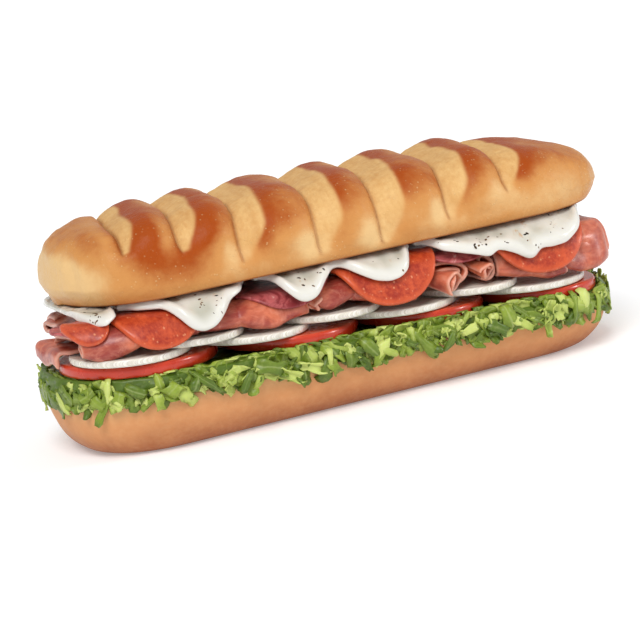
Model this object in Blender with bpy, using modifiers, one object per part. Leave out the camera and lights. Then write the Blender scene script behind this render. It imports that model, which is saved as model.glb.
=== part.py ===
"""A submarine sandwich on a scored long roll, with lettuce, tomato, onion, cold cuts and cheese.

Run with: blender --background --python part.py
Units are metres, +Z is up, +X runs along the roll and -Y is the side that the photograph shows.
The origin is on the flat underside, below the middle of the roll.
"""
import math
import random

import bmesh
import bpy
from mathutils import Vector

MM = 0.001
GAP = 0.3 * MM

# Roll: the plan of both halves is a straight run between two super-elliptic ends
PLAN_POWER = 2.3
BASE_HALF_LENGTH = 102.0 * MM
BASE_HALF_WIDTH = 37.0 * MM
BASE_FOOT_SHARE = 0.66
BASE_CUT_HEIGHT = 18.0 * MM
BASE_CUT_SLOPE = -0.018
LID_CENTRE_X = 3.8 * MM
LID_HALF_LENGTH = 101.5 * MM
LID_HALF_WIDTH = 36.2 * MM
LID_CUT_HEIGHT = 50.8 * MM
LID_RIM_HEIGHT = 57.0 * MM
LID_CREST_HEIGHT = 77.4 * MM
LID_LEFT_FALL = 1.2 * MM
LID_RIGHT_FALL = 5.2 * MM
LID_CREST_SLOPE = -0.010
LID_UNDERCUT = 3.6 * MM
LID_FLANK_RISE = 1.5 * MM
LID_EDGE_POWER = 4.2
LID_DOME_POWER = 0.42

# Scored cuts of the crust: where each crosses the crest, and how far it runs down the front
SCORE_CREST_X = (-74.6, -54.4, -33.8, -7.2, 15.9, 41.3, 63.5)
SCORE_FRONT_REACH = (0.55, 0.75, 0.97, 0.97, 0.95, 0.88, 0.80)
SCORE_BACK_REACH = 0.62
SCORE_FADE = 0.22
SCORE_CENTRE_Y = 3.0 * MM
SCORE_LEAN = 0.15
SCORE_DEPTH = 4.2 * MM
SCORE_WALL_WIDTH = 1.6 * MM
SCORE_RISE_WIDTH = 8.0 * MM
LOBE_SWELL = 1.5 * MM
LOBE_WIDTH = 8.0 * MM
LOBE_SHIFT = 2.0 * MM
LOBE_SHARES = (0.0, 0.13, 0.33, 0.58, 0.82)
RING_STEP = 3.0 * MM
DOME_ROUNDING = 0.62

# Layers from the bottom up; every filling level falls gently towards +X
FILL_SLOPE = -0.045
TOMATO_BOTTOM = 24.0 * MM
TOMATO_THICKNESS = 4.0 * MM
TOMATO_ROUNDING = 1.1 * MM
ONION_THICKNESS = 2.4 * MM
FILL_FRONT_Y = -36.5 * MM
ONION_PROUD = 1.0 * MM

# The pile of cold cuts has a rounded shoulder; sheets drape over it at rising offsets
SHOULDER_TOP = 43.6 * MM
SHOULDER_RADIUS = 8.0 * MM
SHOULDER_ANGLE = math.radians(72)
PILE_HALF_LENGTH = 110.0 * MM
SHOULDER_HALF_WIDTH = 27.0 * MM
SHEET_GAP = 0.5 * MM
CHEESE_GAP = 0.7 * MM
HAM_THICKNESS = 1.5 * MM
SALAMI_THICKNESS = 1.1 * MM
PEPPERONI_THICKNESS = 1.9 * MM
CHEESE_THICKNESS = 2.3 * MM
FOLD_TURN = 1.7 * MM
FOLD_REST_SAG = -1.2 * MM
FOLD_LEAST_FALL = 0.5 * MM
ROLL_SPACE = 0.9 * MM
END_START = 82.0 * MM
END_CORNER = 7.0 * MM
SHEET_CORNER = 3.0 * MM
SHEET_LEAST_REACH = SHOULDER_HALF_WIDTH + 0.8 * MM

# The slice that sticks out at the left end lies on the lower onions and curls down past them
HAM_END_EDGE_X = -99.2 * MM
HAM_END_FLAT = 20.0 * MM
HAM_END_BEND = 2.0 * MM
HAM_END_HANG = 3.0 * MM
HAM_END_HALF_WIDTH = 17.0 * MM

# Slices: place along X and radius, in mm; the onions also say whether they lie on their neighbours
TOMATO_PLAN = ((-73.0, 27.0), (-20.5, 25.0), (28.0, 23.2), (73.5, 22.0))
ONION_PLAN = ((-77.6, 20.5, False), (-57.0, 18.0, True), (-35.5, 20.3, False), (-8.0, 19.5, True),
              (18.0, 22.5, False), (45.0, 18.0, True), (68.5, 23.0, False))

# Draped slices: place along X, lowest height and radius in mm, and the side they hang on
SALAMI_PLAN = ((-88.0, 39.0, 15.0, -1), (-24.0, 38.6, 18.0, -1), (40.0, 40.6, 18.0, -1),
               (-52.0, 38.0, 19.0, 1))
PEPPERONI_PLAN = ((-94.0, 40.5, 7.0, -1), (-70.6, 35.5, 15.8, -1), (11.5, 32.6, 19.0, -1),
                  (68.0, 31.8, 20.0, -1), (-34.0, 36.0, 18.0, 1), (26.0, 35.0, 18.0, 1))

# Folded ham: number, both ends along X, sag of the middle and sway of the edge, in mm
HAM_FOLD_PLAN = ((1, -97.0, -60.5, 2.6, 0.8), (2, -58.5, -23.0, 1.6, 0.3), (4, -4.5, 18.5, 0.6, 0.6),
                 (7, 53.0, 73.5, 2.6, 0.9), (8, 75.0, 98.0, 0.4, 0.5))
# Rolled ham: number, place along X, half width, turns of the spiral and bend, in mm
HAM_ROLL_PLAN = ((3, -13.8, 7.0, 1.0, 0.6), (5, 30.5, 10.6, 1.25, -0.8), (6, 47.2, 4.4, 0.9, 0.5))
# Cheese: both ends along X and the edge's height in mm, then place, lowest height and width of each drip
CHEESE_PLAN = ((-95.5, -83.5, 48.4, ((-89.0, 46.0, 5.0),), ((-88.0, 44.5, 4.0),)),
               (-81.5, -37.0, 48.4, ((-58.5, 40.2, 10.0),), ((-70.0, 41.5, 7.0), (-48.0, 44.0, 6.0))),
               (-33.5, 22.0, 48.4, ((-21.5, 42.0, 8.0), (8.5, 42.8, 9.0)),
                ((-20.0, 44.0, 7.0), (9.0, 39.5, 8.0))),
               (25.0, 90.0, 48.4, ((45.5, 42.4, 7.5), (61.0, 39.0, 5.0), (73.5, 39.8, 8.0)),
                ((40.0, 42.5, 7.0), (66.0, 40.0, 9.0), (83.0, 44.0, 5.0))))

LETTUCE_STRIPS = 45
LETTUCE_SEED = 7


def clear_scene():
    for item in list(bpy.data.objects):
        bpy.data.objects.remove(item, do_unlink=True)


def make_collection(name):
    collection = bpy.data.collections.new(name)
    bpy.context.scene.collection.children.link(collection)
    return collection


def make_material(name, colour, roughness):
    material = bpy.data.materials.new(name)
    material.use_nodes = True
    shader = material.node_tree.nodes["Principled BSDF"]
    shader.inputs["Base Color"].default_value = (*colour, 1.0)
    shader.inputs["Roughness"].default_value = roughness
    shader.inputs["Metallic"].default_value = 0.0
    return material


def add_object(name, bm, material, collection):
    bmesh.ops.recalc_face_normals(bm, faces=bm.faces)
    mesh = bpy.data.meshes.new(name)
    bm.to_mesh(mesh)
    bm.free()
    mesh.shade_smooth()
    mesh.materials.append(material)
    item = bpy.data.objects.new(name, mesh)
    collection.objects.link(item)
    return item


def add_solidify(item, thickness):
    wall = item.modifiers.new("Wall", "SOLIDIFY")
    wall.thickness = thickness
    wall.offset = 0.0


def smooth_step(value):
    value = min(max(value, 0.0), 1.0)
    return value * value * (3.0 - 2.0 * value)


def signed_power(value, power):
    return math.copysign(abs(value) ** power, value)


def plan_reach(x, half_length, half_width):
    """Share of the end cap's radius used up at a place along X: 0 on the straight run, 1 at the tip."""
    return min(max((abs(x) - (half_length - half_width)) / half_width, 0.0), 1.0)


def plan_half_width(x, half_length, half_width):
    reach = plan_reach(x, half_length, half_width)
    return half_width * (1.0 - reach ** PLAN_POWER) ** (1.0 / PLAN_POWER)


def plan_point(turn, half_length, half_width):
    """Point on the roll's plan outline; turn runs from 0 to 1 round it by length, from the tip at +X."""
    straight = half_length - half_width
    arc = 0.53 * math.pi * half_width
    quarter = math.floor(turn * 4.0) % 4
    inner = turn * 4.0 - math.floor(turn * 4.0)
    travel = (inner if quarter in (0, 2) else 1.0 - inner) * (straight + arc)
    if travel < arc:
        angle = 0.5 * math.pi * travel / arc
        x = straight + half_width * math.cos(angle) ** (2.0 / PLAN_POWER)
        y = half_width * math.sin(angle) ** (2.0 / PLAN_POWER)
    else:
        x = straight - (travel - arc)
        y = half_width
    return (x if quarter in (0, 3) else -x), (y if quarter in (0, 1) else -y)


def base_cut_z(x):
    return BASE_CUT_HEIGHT + BASE_CUT_SLOPE * x


def fill_drop(x):
    return FILL_SLOPE * x


def even_loft(rings, sides, place):
    """Close a UV sphere over the rings: place(ring share, side number) gives each point."""
    bm = bmesh.new()
    bmesh.ops.create_uvsphere(bm, u_segments=sides, v_segments=rings, radius=1.0)
    for vertex in bm.verts:
        share = math.acos(max(-1.0, min(1.0, vertex.co.z))) / math.pi
        turn = math.atan2(vertex.co.y, vertex.co.x) / (2.0 * math.pi) % 1.0
        vertex.co = place(share, round(turn * sides) % sides)
    return bm


def make_base(material, collection):
    """Lower half of the roll: a level foot, a swelling flank and a sloping cut face."""
    sides = 44
    bm = bmesh.new()
    bmesh.ops.create_cone(bm, cap_ends=True, segments=sides, radius1=1.0, radius2=1.0, depth=1.0)
    flank = [edge for edge in bm.edges if abs(edge.verts[0].co.z - edge.verts[1].co.z) > 0.5]
    bmesh.ops.subdivide_edges(bm, edges=flank, cuts=4)
    for vertex in bm.verts:
        turn = math.atan2(vertex.co.y, vertex.co.x) / (2.0 * math.pi) % 1.0
        angle = 0.5 * math.pi * (vertex.co.z + 0.5)
        inset = (1.0 - BASE_FOOT_SHARE) * (1.0 - math.sin(angle)) * BASE_HALF_WIDTH
        x, y = plan_point(turn, BASE_HALF_LENGTH - inset, BASE_HALF_WIDTH - inset)
        vertex.co = Vector((x, y, base_cut_z(x) * (1.0 - math.cos(angle))))
    return add_object("bread_bottom", bm, material, collection)


def score_x(index, y):
    """Where a scored cut lies along X at a place across the roll."""
    return SCORE_CREST_X[index] * MM + SCORE_LEAN * (y - SCORE_CENTRE_Y)


def score_fade(index, y):
    """How deep a scored cut is across the roll: full at the crest, nothing past its ends."""
    share = abs(y) / LID_HALF_WIDTH
    reach = SCORE_FRONT_REACH[index] if y < 0.0 else SCORE_BACK_REACH
    return 1.0 - smooth_step((share - reach + SCORE_FADE) / SCORE_FADE)


def score_relief(x, y):
    """Height that the scoring adds or takes away: steep on the left of a cut, slow on the right."""
    count = len(SCORE_CREST_X)
    relief = 0.0
    for index in range(count):
        offset = x - score_x(index, y)
        width = SCORE_WALL_WIDTH if offset < 0.0 else SCORE_RISE_WIDTH
        dip = math.exp(-(offset / width) ** 2)
        relief -= SCORE_DEPTH * dip * score_fade(index, y)
    for index in range(count - 1):
        middle = 0.5 * (score_x(index, y) + score_x(index + 1, y)) + LOBE_SHIFT
        swell = math.exp(-((x - middle) / LOBE_WIDTH) ** 2)
        relief += LOBE_SWELL * swell * score_fade(index, y)
    return relief


def lid_height(x, y):
    """Crust height of the upper roll above a plan point."""
    local = x - LID_CENTRE_X
    reach = plan_reach(local, LID_HALF_LENGTH, LID_HALF_WIDTH)
    share = (reach ** PLAN_POWER + (abs(y) / LID_HALF_WIDTH) ** PLAN_POWER) ** (1.0 / PLAN_POWER)
    dome = max(1.0 - share ** LID_EDGE_POWER, 0.0) ** LID_DOME_POWER
    end_fall = LID_LEFT_FALL if local < 0.0 else LID_RIGHT_FALL
    fall = end_fall * smooth_step(2.0 * abs(local) / LID_HALF_LENGTH - 1.0)
    crest = LID_CREST_HEIGHT + LID_CREST_SLOPE * x - fall
    return LID_RIM_HEIGHT + (crest - LID_RIM_HEIGHT) * dome


def lid_rings():
    """Ring places along X as crest positions: close together at each cut, wider over the lobes."""
    left = LID_CENTRE_X - LID_HALF_LENGTH
    right = LID_CENTRE_X + LID_HALF_LENGTH
    first = SCORE_CREST_X[0] * MM
    last = SCORE_CREST_X[-1] * MM
    past_last = last + 2.0 * RING_STEP
    left_rings = 8
    right_rings = 7
    places = []
    for step in range(1, left_rings):
        share = (1.0 - math.cos(0.5 * math.pi * step / left_rings)) ** 1.15
        places.append(left + (first - left) * share)
    for start, end in zip(SCORE_CREST_X, SCORE_CREST_X[1:]):
        places += [(start + (end - start) * share) * MM for share in LOBE_SHARES]
    places += [last, last + RING_STEP]
    for step in range(right_rings):
        share = math.sin(0.5 * math.pi * step / right_rings)
        places.append(past_last + (right - past_last) * share)
    return places


def make_lid(material, collection):
    """Upper half of the roll: a full dome with scored lobes and a level cut face."""
    places = lid_rings()
    rings = len(places) + 1
    dome_sides = 12
    sides = dome_sides + 5

    def place(share, side):
        ring = round(share * rings)
        if ring in (0, rings):
            tip = LID_CENTRE_X + math.copysign(LID_HALF_LENGTH, ring - 0.5)
            return Vector((tip, 0.0, LID_RIM_HEIGHT))
        crest_x = places[ring - 1]
        local = crest_x - LID_CENTRE_X
        half = plan_half_width(local, LID_HALF_LENGTH, LID_HALF_WIDTH)
        if side <= dome_sides:
            angle = math.pi * side / dome_sides
            y = half * signed_power(math.cos(angle), DOME_ROUNDING)
            from_tip = 1.0 - abs(local) / LID_HALF_LENGTH
            x = crest_x + SCORE_LEAN * (y - SCORE_CENTRE_Y) * smooth_step(from_tip * 5.0)
            return Vector((x, y, lid_height(crest_x, y) + score_relief(x, y)))
        under = min(LID_UNDERCUT, 0.6 * half)
        step = side - dome_sides
        on_cut_face = step in (2, 3)
        y = math.copysign(half - (under if on_cut_face else 0.3 * under), step - 2.5)
        z = LID_CUT_HEIGHT if on_cut_face else LID_CUT_HEIGHT + LID_FLANK_RISE
        inset = 1.0 - under / LID_HALF_LENGTH
        return Vector((LID_CENTRE_X + local * inset, y, z))

    return add_object("bread_top", even_loft(rings, sides, place), material, collection)


def make_slice(name, centre, radius, bottom, thickness, sides, unevenness, rounding, material, collection):
    """Round slice from a cylinder, its outline slightly uneven, lying on the sloping filling level."""
    bm = bmesh.new()
    bmesh.ops.create_cone(bm, cap_ends=True, segments=sides, radius1=radius, radius2=radius, depth=thickness)
    rim = [edge for edge in bm.edges if abs(edge.verts[0].co.z - edge.verts[1].co.z) < 0.1 * thickness]
    if rounding > 0.0:
        bmesh.ops.bevel(bm, geom=rim, offset=rounding, segments=1, affect="EDGES", profile=0.5)
    for vertex in bm.verts:
        angle = math.atan2(vertex.co.y, vertex.co.x)
        swell = 1.0 + unevenness * (math.sin(2.0 * angle + centre[0] * 90.0) + 0.5 * math.sin(3.0 * angle))
        x = centre[0] + vertex.co.x * swell
        y = centre[1] + vertex.co.y * swell
        vertex.co = Vector((x, y, bottom + 0.5 * thickness + vertex.co.z + fill_drop(x)))
    return add_object(name, bm, material, collection)


def make_tomatoes(material, collection):
    for number, (x, radius) in enumerate(TOMATO_PLAN, 1):
        centre = (x * MM, FILL_FRONT_Y + radius * MM)
        make_slice(f"tomato_{number}", centre, radius * MM, TOMATO_BOTTOM, TOMATO_THICKNESS, 24, 0.008,
                   TOMATO_ROUNDING, material, collection)


def make_onions(material, collection):
    """Seven slices in two levels, every second one lying on its neighbours."""
    lower = TOMATO_BOTTOM + TOMATO_THICKNESS + GAP
    upper = lower + ONION_THICKNESS + GAP
    for number, (x, radius, raised) in enumerate(ONION_PLAN, 1):
        bottom = upper if raised else lower
        centre = (x * MM, FILL_FRONT_Y - ONION_PROUD + radius * MM)
        make_slice(f"onion_{number}", centre, radius * MM, bottom, ONION_THICKNESS, 24, 0.012, 0.0,
                   material, collection)


def pile_narrowing(x):
    """Share of its full width that the pile has at a place along X, rounded in plan at both ends."""
    return plan_half_width(x, PILE_HALF_LENGTH, BASE_HALF_WIDTH) / BASE_HALF_WIDTH


def drape(plan_x, plan_y, offset):
    """Lay a flat plan point over the shouldered pile: level on top, round over the edge, then steeply down."""
    past = max(abs(plan_y) - SHOULDER_HALF_WIDTH, 0.0)
    angle = min(past / SHOULDER_RADIUS, SHOULDER_ANGLE)
    fall = max(past - SHOULDER_RADIUS * SHOULDER_ANGLE, 0.0)
    out = (SHOULDER_RADIUS + offset) * math.sin(angle) + fall * math.cos(SHOULDER_ANGLE)
    up = (SHOULDER_RADIUS + offset) * math.cos(angle) - SHOULDER_RADIUS - fall * math.sin(SHOULDER_ANGLE)
    across = math.copysign(min(abs(plan_y), SHOULDER_HALF_WIDTH) + out, plan_y)
    return Vector((plan_x, across * pile_narrowing(plan_x), SHOULDER_TOP + up))


def hang_plan_y(height, offset):
    """Plan distance from the centre line at which a draped sheet has come down to a height."""
    turned = SHOULDER_TOP - SHOULDER_RADIUS + (SHOULDER_RADIUS + offset) * math.cos(SHOULDER_ANGLE)
    if height < turned:
        fall = (turned - height) / math.sin(SHOULDER_ANGLE)
        return SHOULDER_HALF_WIDTH + SHOULDER_RADIUS * SHOULDER_ANGLE + fall
    level = (height - SHOULDER_TOP + SHOULDER_RADIUS) / (SHOULDER_RADIUS + offset)
    return SHOULDER_HALF_WIDTH + SHOULDER_RADIUS * math.acos(min(level, 1.0))


def make_sheet(name, columns, rows, place, thickness, material, collection):
    """Sheet from a grid: place(u, v) with u and v from 0 to 1 gives its middle surface."""
    bm = bmesh.new()
    bmesh.ops.create_grid(bm, x_segments=columns, y_segments=rows, size=1.0)
    for vertex in bm.verts:
        vertex.co = place(0.5 * (vertex.co.x + 1.0), 0.5 * (vertex.co.y + 1.0))
    add_solidify(add_object(name, bm, material, collection), thickness)


def hang_rows(front, back, shoulder_steps):
    """Plan rows of a draped sheet from its front edge to its back edge, closer together over each shoulder."""
    rows = []
    for share in range(shoulder_steps):
        rows.append(-SHOULDER_HALF_WIDTH - (front - SHOULDER_HALF_WIDTH) * (1.0 - share / shoulder_steps))
    rows += [-SHOULDER_HALF_WIDTH, 0.0, SHOULDER_HALF_WIDTH]
    for share in range(1, shoulder_steps + 1):
        rows.append(SHOULDER_HALF_WIDTH + (back - SHOULDER_HALF_WIDTH) * share / shoulder_steps)
    return rows


def make_round_slices(name, plan, offset, thickness, material, collection):
    """Round slices draped over the pile's edge; the plan gives x, lowest height, radius and side of each."""
    rows = 7
    shoulder_rows = 4
    tip_share = 0.2
    for number, (x, lowest, radius, side) in enumerate(plan, 1):
        middle = offset + 0.5 * thickness
        hang = hang_plan_y(lowest * MM, middle)

        def place(u, v):
            row = round(v * rows)
            if row <= shoulder_rows:
                plan_y = hang - (hang - SHOULDER_HALF_WIDTH) * row / shoulder_rows
            else:
                inner = 2.0 * radius * MM - hang + SHOULDER_HALF_WIDTH
                plan_y = SHOULDER_HALF_WIDTH - inner * (row - shoulder_rows) / (rows - shoulder_rows)
            from_centre = plan_y - hang + radius * MM
            half = math.sqrt(max((radius * MM) ** 2 - from_centre ** 2, (tip_share * radius * MM) ** 2))
            return drape(x * MM + (2.0 * u - 1.0) * half, side * plan_y, middle)

        make_sheet(f"{name}_{number}", 5, rows, place, thickness, material, collection)


def ham_low(x):
    """Lowest level of the cold cuts, above both onion levels."""
    return TOMATO_BOTTOM + TOMATO_THICKNESS + 2.0 * (ONION_THICKNESS + GAP) + 2.0 * GAP + fill_drop(x)


def fold_points(low, sag):
    """Section of a folded slice, y and z: under, up over the front shoulder, across, and down behind."""
    top_offset = -GAP - 0.5 * HAM_THICKNESS
    bottom = low + 0.5 * HAM_THICKNESS
    edge_height = min(bottom + 2.0 * FOLD_TURN - sag, SHOULDER_TOP + top_offset - FOLD_LEAST_FALL)
    hang = hang_plan_y(edge_height, top_offset)
    slope = min((hang - SHOULDER_HALF_WIDTH) / SHOULDER_RADIUS, SHOULDER_ANGLE)
    top = [drape(0.0, row, top_offset) for row in hang_rows(hang, hang, 3)]
    centre = top[0] + Vector((0.0, math.sin(slope), -math.cos(slope))) * FOLD_TURN
    front = [(-1.5 * MM, bottom), (-0.5 * SHOULDER_HALF_WIDTH, bottom)]
    for step in range(3):
        angle = -0.5 * math.pi - (math.pi - slope) * step / 3.0
        front.append((centre.y + FOLD_TURN * math.cos(angle), centre.z + FOLD_TURN * math.sin(angle)))
    back = [(-y, z) for y, z in reversed(front)]
    return front + [(point.y, point.z) for point in top] + back


def make_ham_folds(material, collection):
    """Slices folded flat, the crease hanging at the front and at the back."""
    rows = len(fold_points(ham_low(0.0), 0.0)) - 1
    for number, start, end, sag, sway in HAM_FOLD_PLAN:

        def place(u, v):
            x = (start + (end - start) * u) * MM
            belly = math.sin(math.pi * u)
            droop = sag * MM * belly + sway * MM * math.sin(2.0 * math.pi * u + number)
            y, z = fold_points(ham_low(x), droop + FOLD_REST_SAG)[round(v * rows)]
            edge = 1.0 - 0.05 * (1.0 - belly)
            return Vector((x, y * pile_narrowing(x) * edge, z))

        make_sheet(f"ham_{number}", 4, rows, place, HAM_THICKNESS, material, collection)


def make_ham_end(material, collection):
    """Slice that sticks out at the left end between onion and folded ham, and curls down past the onion."""
    quarter = 0.5 * math.pi * HAM_END_BEND
    level = ham_low(0.0) - ONION_THICKNESS - GAP + 0.5 * HAM_THICKNESS

    def place(u, v):
        travel = u * (HAM_END_FLAT + quarter + HAM_END_HANG)
        angle = min(max(travel - HAM_END_FLAT, 0.0) / HAM_END_BEND, 0.5 * math.pi)
        fall = max(travel - HAM_END_FLAT - quarter, 0.0)
        x = HAM_END_EDGE_X + HAM_END_FLAT - min(travel, HAM_END_FLAT) - HAM_END_BEND * math.sin(angle)
        z = level + fill_drop(max(x, HAM_END_EDGE_X)) - HAM_END_BEND * (1.0 - math.cos(angle)) - fall
        y = (2.0 * v - 1.0) * HAM_END_HALF_WIDTH * (1.0 - 0.3 * u)
        return Vector((x, y, z + 0.9 * MM * math.sin(8.0 * v) * smooth_step(2.0 * u - 1.0)))

    make_sheet("ham_9", 8, 6, place, HAM_THICKNESS, material, collection)


def roll_path(share, turns, half_width, half_height, pitch):
    """Spiral section of a rolled slice, x and z, from the inner end outwards."""
    angle = 2.0 * math.pi * turns * share + 0.4
    inset = pitch * turns * (1.0 - share)
    across = max(half_width - inset, 0.2 * half_width)
    tall = max(half_height - inset, 0.2 * half_height)
    return across * math.cos(angle), -tall * math.sin(angle)


def make_ham_rolls(material, collection):
    """Rolled slices that run from front to back, their spiral ends cut off along the shoulder."""
    pitch = HAM_THICKNESS + ROLL_SPACE
    surface = -2.0 * GAP - 0.5 * HAM_THICKNESS
    for number, x, half_width, turns, bend in HAM_ROLL_PLAN:
        low = ham_low(x * MM) + 0.5 * HAM_THICKNESS + GAP
        high = SHOULDER_TOP + surface
        half = half_width * MM - 0.5 * HAM_THICKNESS

        def place(u, v):
            across, tall = roll_path(u, turns, half, 0.5 * (high - low), pitch)
            z = 0.5 * (high + low) + tall
            end = abs(drape(x * MM, hang_plan_y(z, surface), surface).y)
            end -= 0.5 * MM * (1.0 + math.sin(7.0 * u + number))
            side = x * MM + across + bend * MM * math.sin(2.0 * v)
            drop = fill_drop(side - x * MM) * (high - z) / (high - low)
            return Vector((side, end * (2.0 * v - 1.0), z + drop))

        make_sheet(f"ham_{number}", 13, 3, place, HAM_THICKNESS, material, collection)


def edge_hang(x, base, drips):
    """Height of a cheese sheet's hanging edge: the base level, lowered by each drip in turn."""
    height = base
    for place, lowest, width in drips:
        height = min(height, base - (base - lowest) * math.exp(-(abs(x - place) / width) ** 2.2))
    return height


def make_cheese(material, collection):
    """Melted sheets that cross the pile, their drips hanging at the front and at the back."""
    offset = GAP + SALAMI_THICKNESS + SHEET_GAP + PEPPERONI_THICKNESS + CHEESE_GAP + 0.5 * CHEESE_THICKNESS
    shoulder_steps = 4
    rows = 2 * shoulder_steps + 2
    for number, (start, end, base, front, back) in enumerate(CHEESE_PLAN, 1):
        columns = 2 + round((end - start) / 6.5)

        def place(u, v):
            x = start + (end - start) * u
            corner = SHEET_CORNER * (1.0 - smooth_step(min(u, 1.0 - u) * 7.0))
            corner += END_CORNER * smooth_step((abs(x) * MM - END_START) / (BASE_HALF_LENGTH - END_START))
            front_hang = hang_plan_y(edge_hang(x, base, front) * MM, offset) - corner
            back_hang = hang_plan_y(edge_hang(x, base, back) * MM, offset) - corner
            plan_rows = hang_rows(max(front_hang, SHEET_LEAST_REACH), max(back_hang, SHEET_LEAST_REACH),
                                  shoulder_steps)
            return drape(x * MM, plan_rows[round(v * rows)], offset)

        make_sheet(f"cheese_{number}", columns, rows, place, CHEESE_THICKNESS, material, collection)


def leaf_top(x):
    """Top of the packed leaf, just below the tomatoes."""
    return TOMATO_BOTTOM + fill_drop(x) - GAP


def leaf_spread(turn):
    """How far the leaf stands out round the rim: full along the sides, less at the two tips."""
    return 1.0 - 0.55 * abs(math.cos(2.0 * math.pi * turn)) ** 10.0


def make_lettuce_core(collection, material):
    """Slab of packed leaf between the lower roll and the tomatoes, standing a little proud all round."""
    bm = bmesh.new()
    sides = 60
    bmesh.ops.create_cone(bm, cap_ends=True, segments=sides, radius1=1.0, radius2=1.0, depth=1.0)
    for vertex in bm.verts:
        turn = math.atan2(vertex.co.y, vertex.co.x) / (2.0 * math.pi) % 1.0
        proud = 1.6 * MM + 0.7 * MM * math.sin(54.0 * turn) + 0.4 * MM * math.sin(107.0 * turn + 1.0)
        proud *= leaf_spread(turn)
        x, y = plan_point(turn, BASE_HALF_LENGTH + proud, BASE_HALF_WIDTH + proud)
        vertex.co = Vector((x, y, leaf_top(x) if vertex.co.z > 0.0 else base_cut_z(x) + GAP))
    return add_object("lettuce", bm, material, collection)


def make_lettuce_strip(number, turn, random_draw, collection, material):
    """One torn piece of leaf at the rim: fused where it crosses the core, wavy and free at both ends."""
    segments = 3
    length = random_draw.uniform(12.0, 17.5) * MM
    width = random_draw.uniform(7.5, 12.5) * MM
    slant = random_draw.uniform(-0.65, 0.65)
    bow = random_draw.uniform(0.6, 2.6) * MM
    phase = random_draw.uniform(0.0, 6.28)
    below = random_draw.uniform(0.42, 0.58)
    ripple = 0.9 * MM
    spread = leaf_spread(turn)
    leaf = 0.9 * MM
    bm = bmesh.new()
    bmesh.ops.create_cube(bm, size=1.0)
    for axis, cuts in ((0, segments - 1), (1, 1)):
        edges = [edge for edge in bm.edges if abs(edge.verts[0].co[axis] - edge.verts[1].co[axis]) > 0.5]
        bmesh.ops.subdivide_edges(bm, edges=edges, cuts=cuts, use_grid_fill=True)
    base_x, base_y = plan_point(turn, BASE_HALF_LENGTH, BASE_HALF_WIDTH)
    ahead_x, ahead_y = plan_point(turn + 0.004, BASE_HALF_LENGTH, BASE_HALF_WIDTH)
    tangent = Vector((ahead_x - base_x, ahead_y - base_y, 0.0)).normalized()
    outward = Vector((tangent.y, -tangent.x, 0.0))
    root = Vector((base_x, base_y, 0.5 * (base_cut_z(base_x) + leaf_top(base_x)) - 0.6 * MM))
    run = tangent * math.sin(slant) + Vector((0.0, 0.0, math.cos(slant)))
    side = run.cross(outward)
    for vertex in bm.verts:
        share = vertex.co.x + 0.5
        taper = 1.0 - 0.5 * abs(2.0 * share - 1.0) ** 3.0 + 0.16 * math.sin(9.0 * share + phase)
        from_root = share - below
        lift = 1.9 * MM + bow * smooth_step(abs(from_root) * 2.0)
        lift += ripple * math.sin(6.28 * vertex.co.y + 4.0 * share + phase)
        place = root + run * (from_root * length) + side * (vertex.co.y * width * taper)
        place += outward * (max(lift * spread, 1.1 * MM) + vertex.co.z * leaf)
        vertex.co = place
    bmesh.ops.triangulate(bm, faces=bm.faces)
    return add_object(f"strip_{number}", bm, material, collection)


def make_lettuce(material, collection):
    """Heap of shredded leaf: a core with the strips that show fused on by one union."""
    core = make_lettuce_core(collection, material)
    strips = make_collection("lettuce_strips")
    random_draw = random.Random(LETTUCE_SEED)
    for number in range(LETTUCE_STRIPS):
        turn = (number + random_draw.uniform(-0.3, 0.3)) / LETTUCE_STRIPS
        make_lettuce_strip(number, turn, random_draw, strips, material)
    union = core.modifiers.new("Strips", "BOOLEAN")
    union.operation = "UNION"
    union.operand_type = "COLLECTION"
    union.collection = strips
    evaluated = core.evaluated_get(bpy.context.evaluated_depsgraph_get())
    joined = bpy.data.meshes.new_from_object(evaluated)
    core.modifiers.remove(union)
    core.data = joined
    for strip in list(strips.objects):
        bpy.data.objects.remove(strip, do_unlink=True)
    bpy.data.collections.remove(strips)
    keep_largest_body(core)


def keep_largest_body(item):
    """Drop loose scraps so that one closed body is left."""
    bm = bmesh.new()
    bm.from_mesh(item.data)
    bmesh.ops.remove_doubles(bm, verts=bm.verts, dist=0.00001)
    unseen = set(bm.faces)
    bodies = []
    while unseen:
        body = set()
        edge_of_search = [unseen.pop()]
        while edge_of_search:
            face = edge_of_search.pop()
            body.add(face)
            for edge in face.edges:
                for other in edge.link_faces:
                    if other in unseen:
                        unseen.remove(other)
                        edge_of_search.append(other)
        bodies.append(body)
    largest = max(bodies, key=len)
    bmesh.ops.delete(bm, geom=[face for face in bm.faces if face not in largest], context="FACES")
    bm.to_mesh(item.data)
    bm.free()


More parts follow.
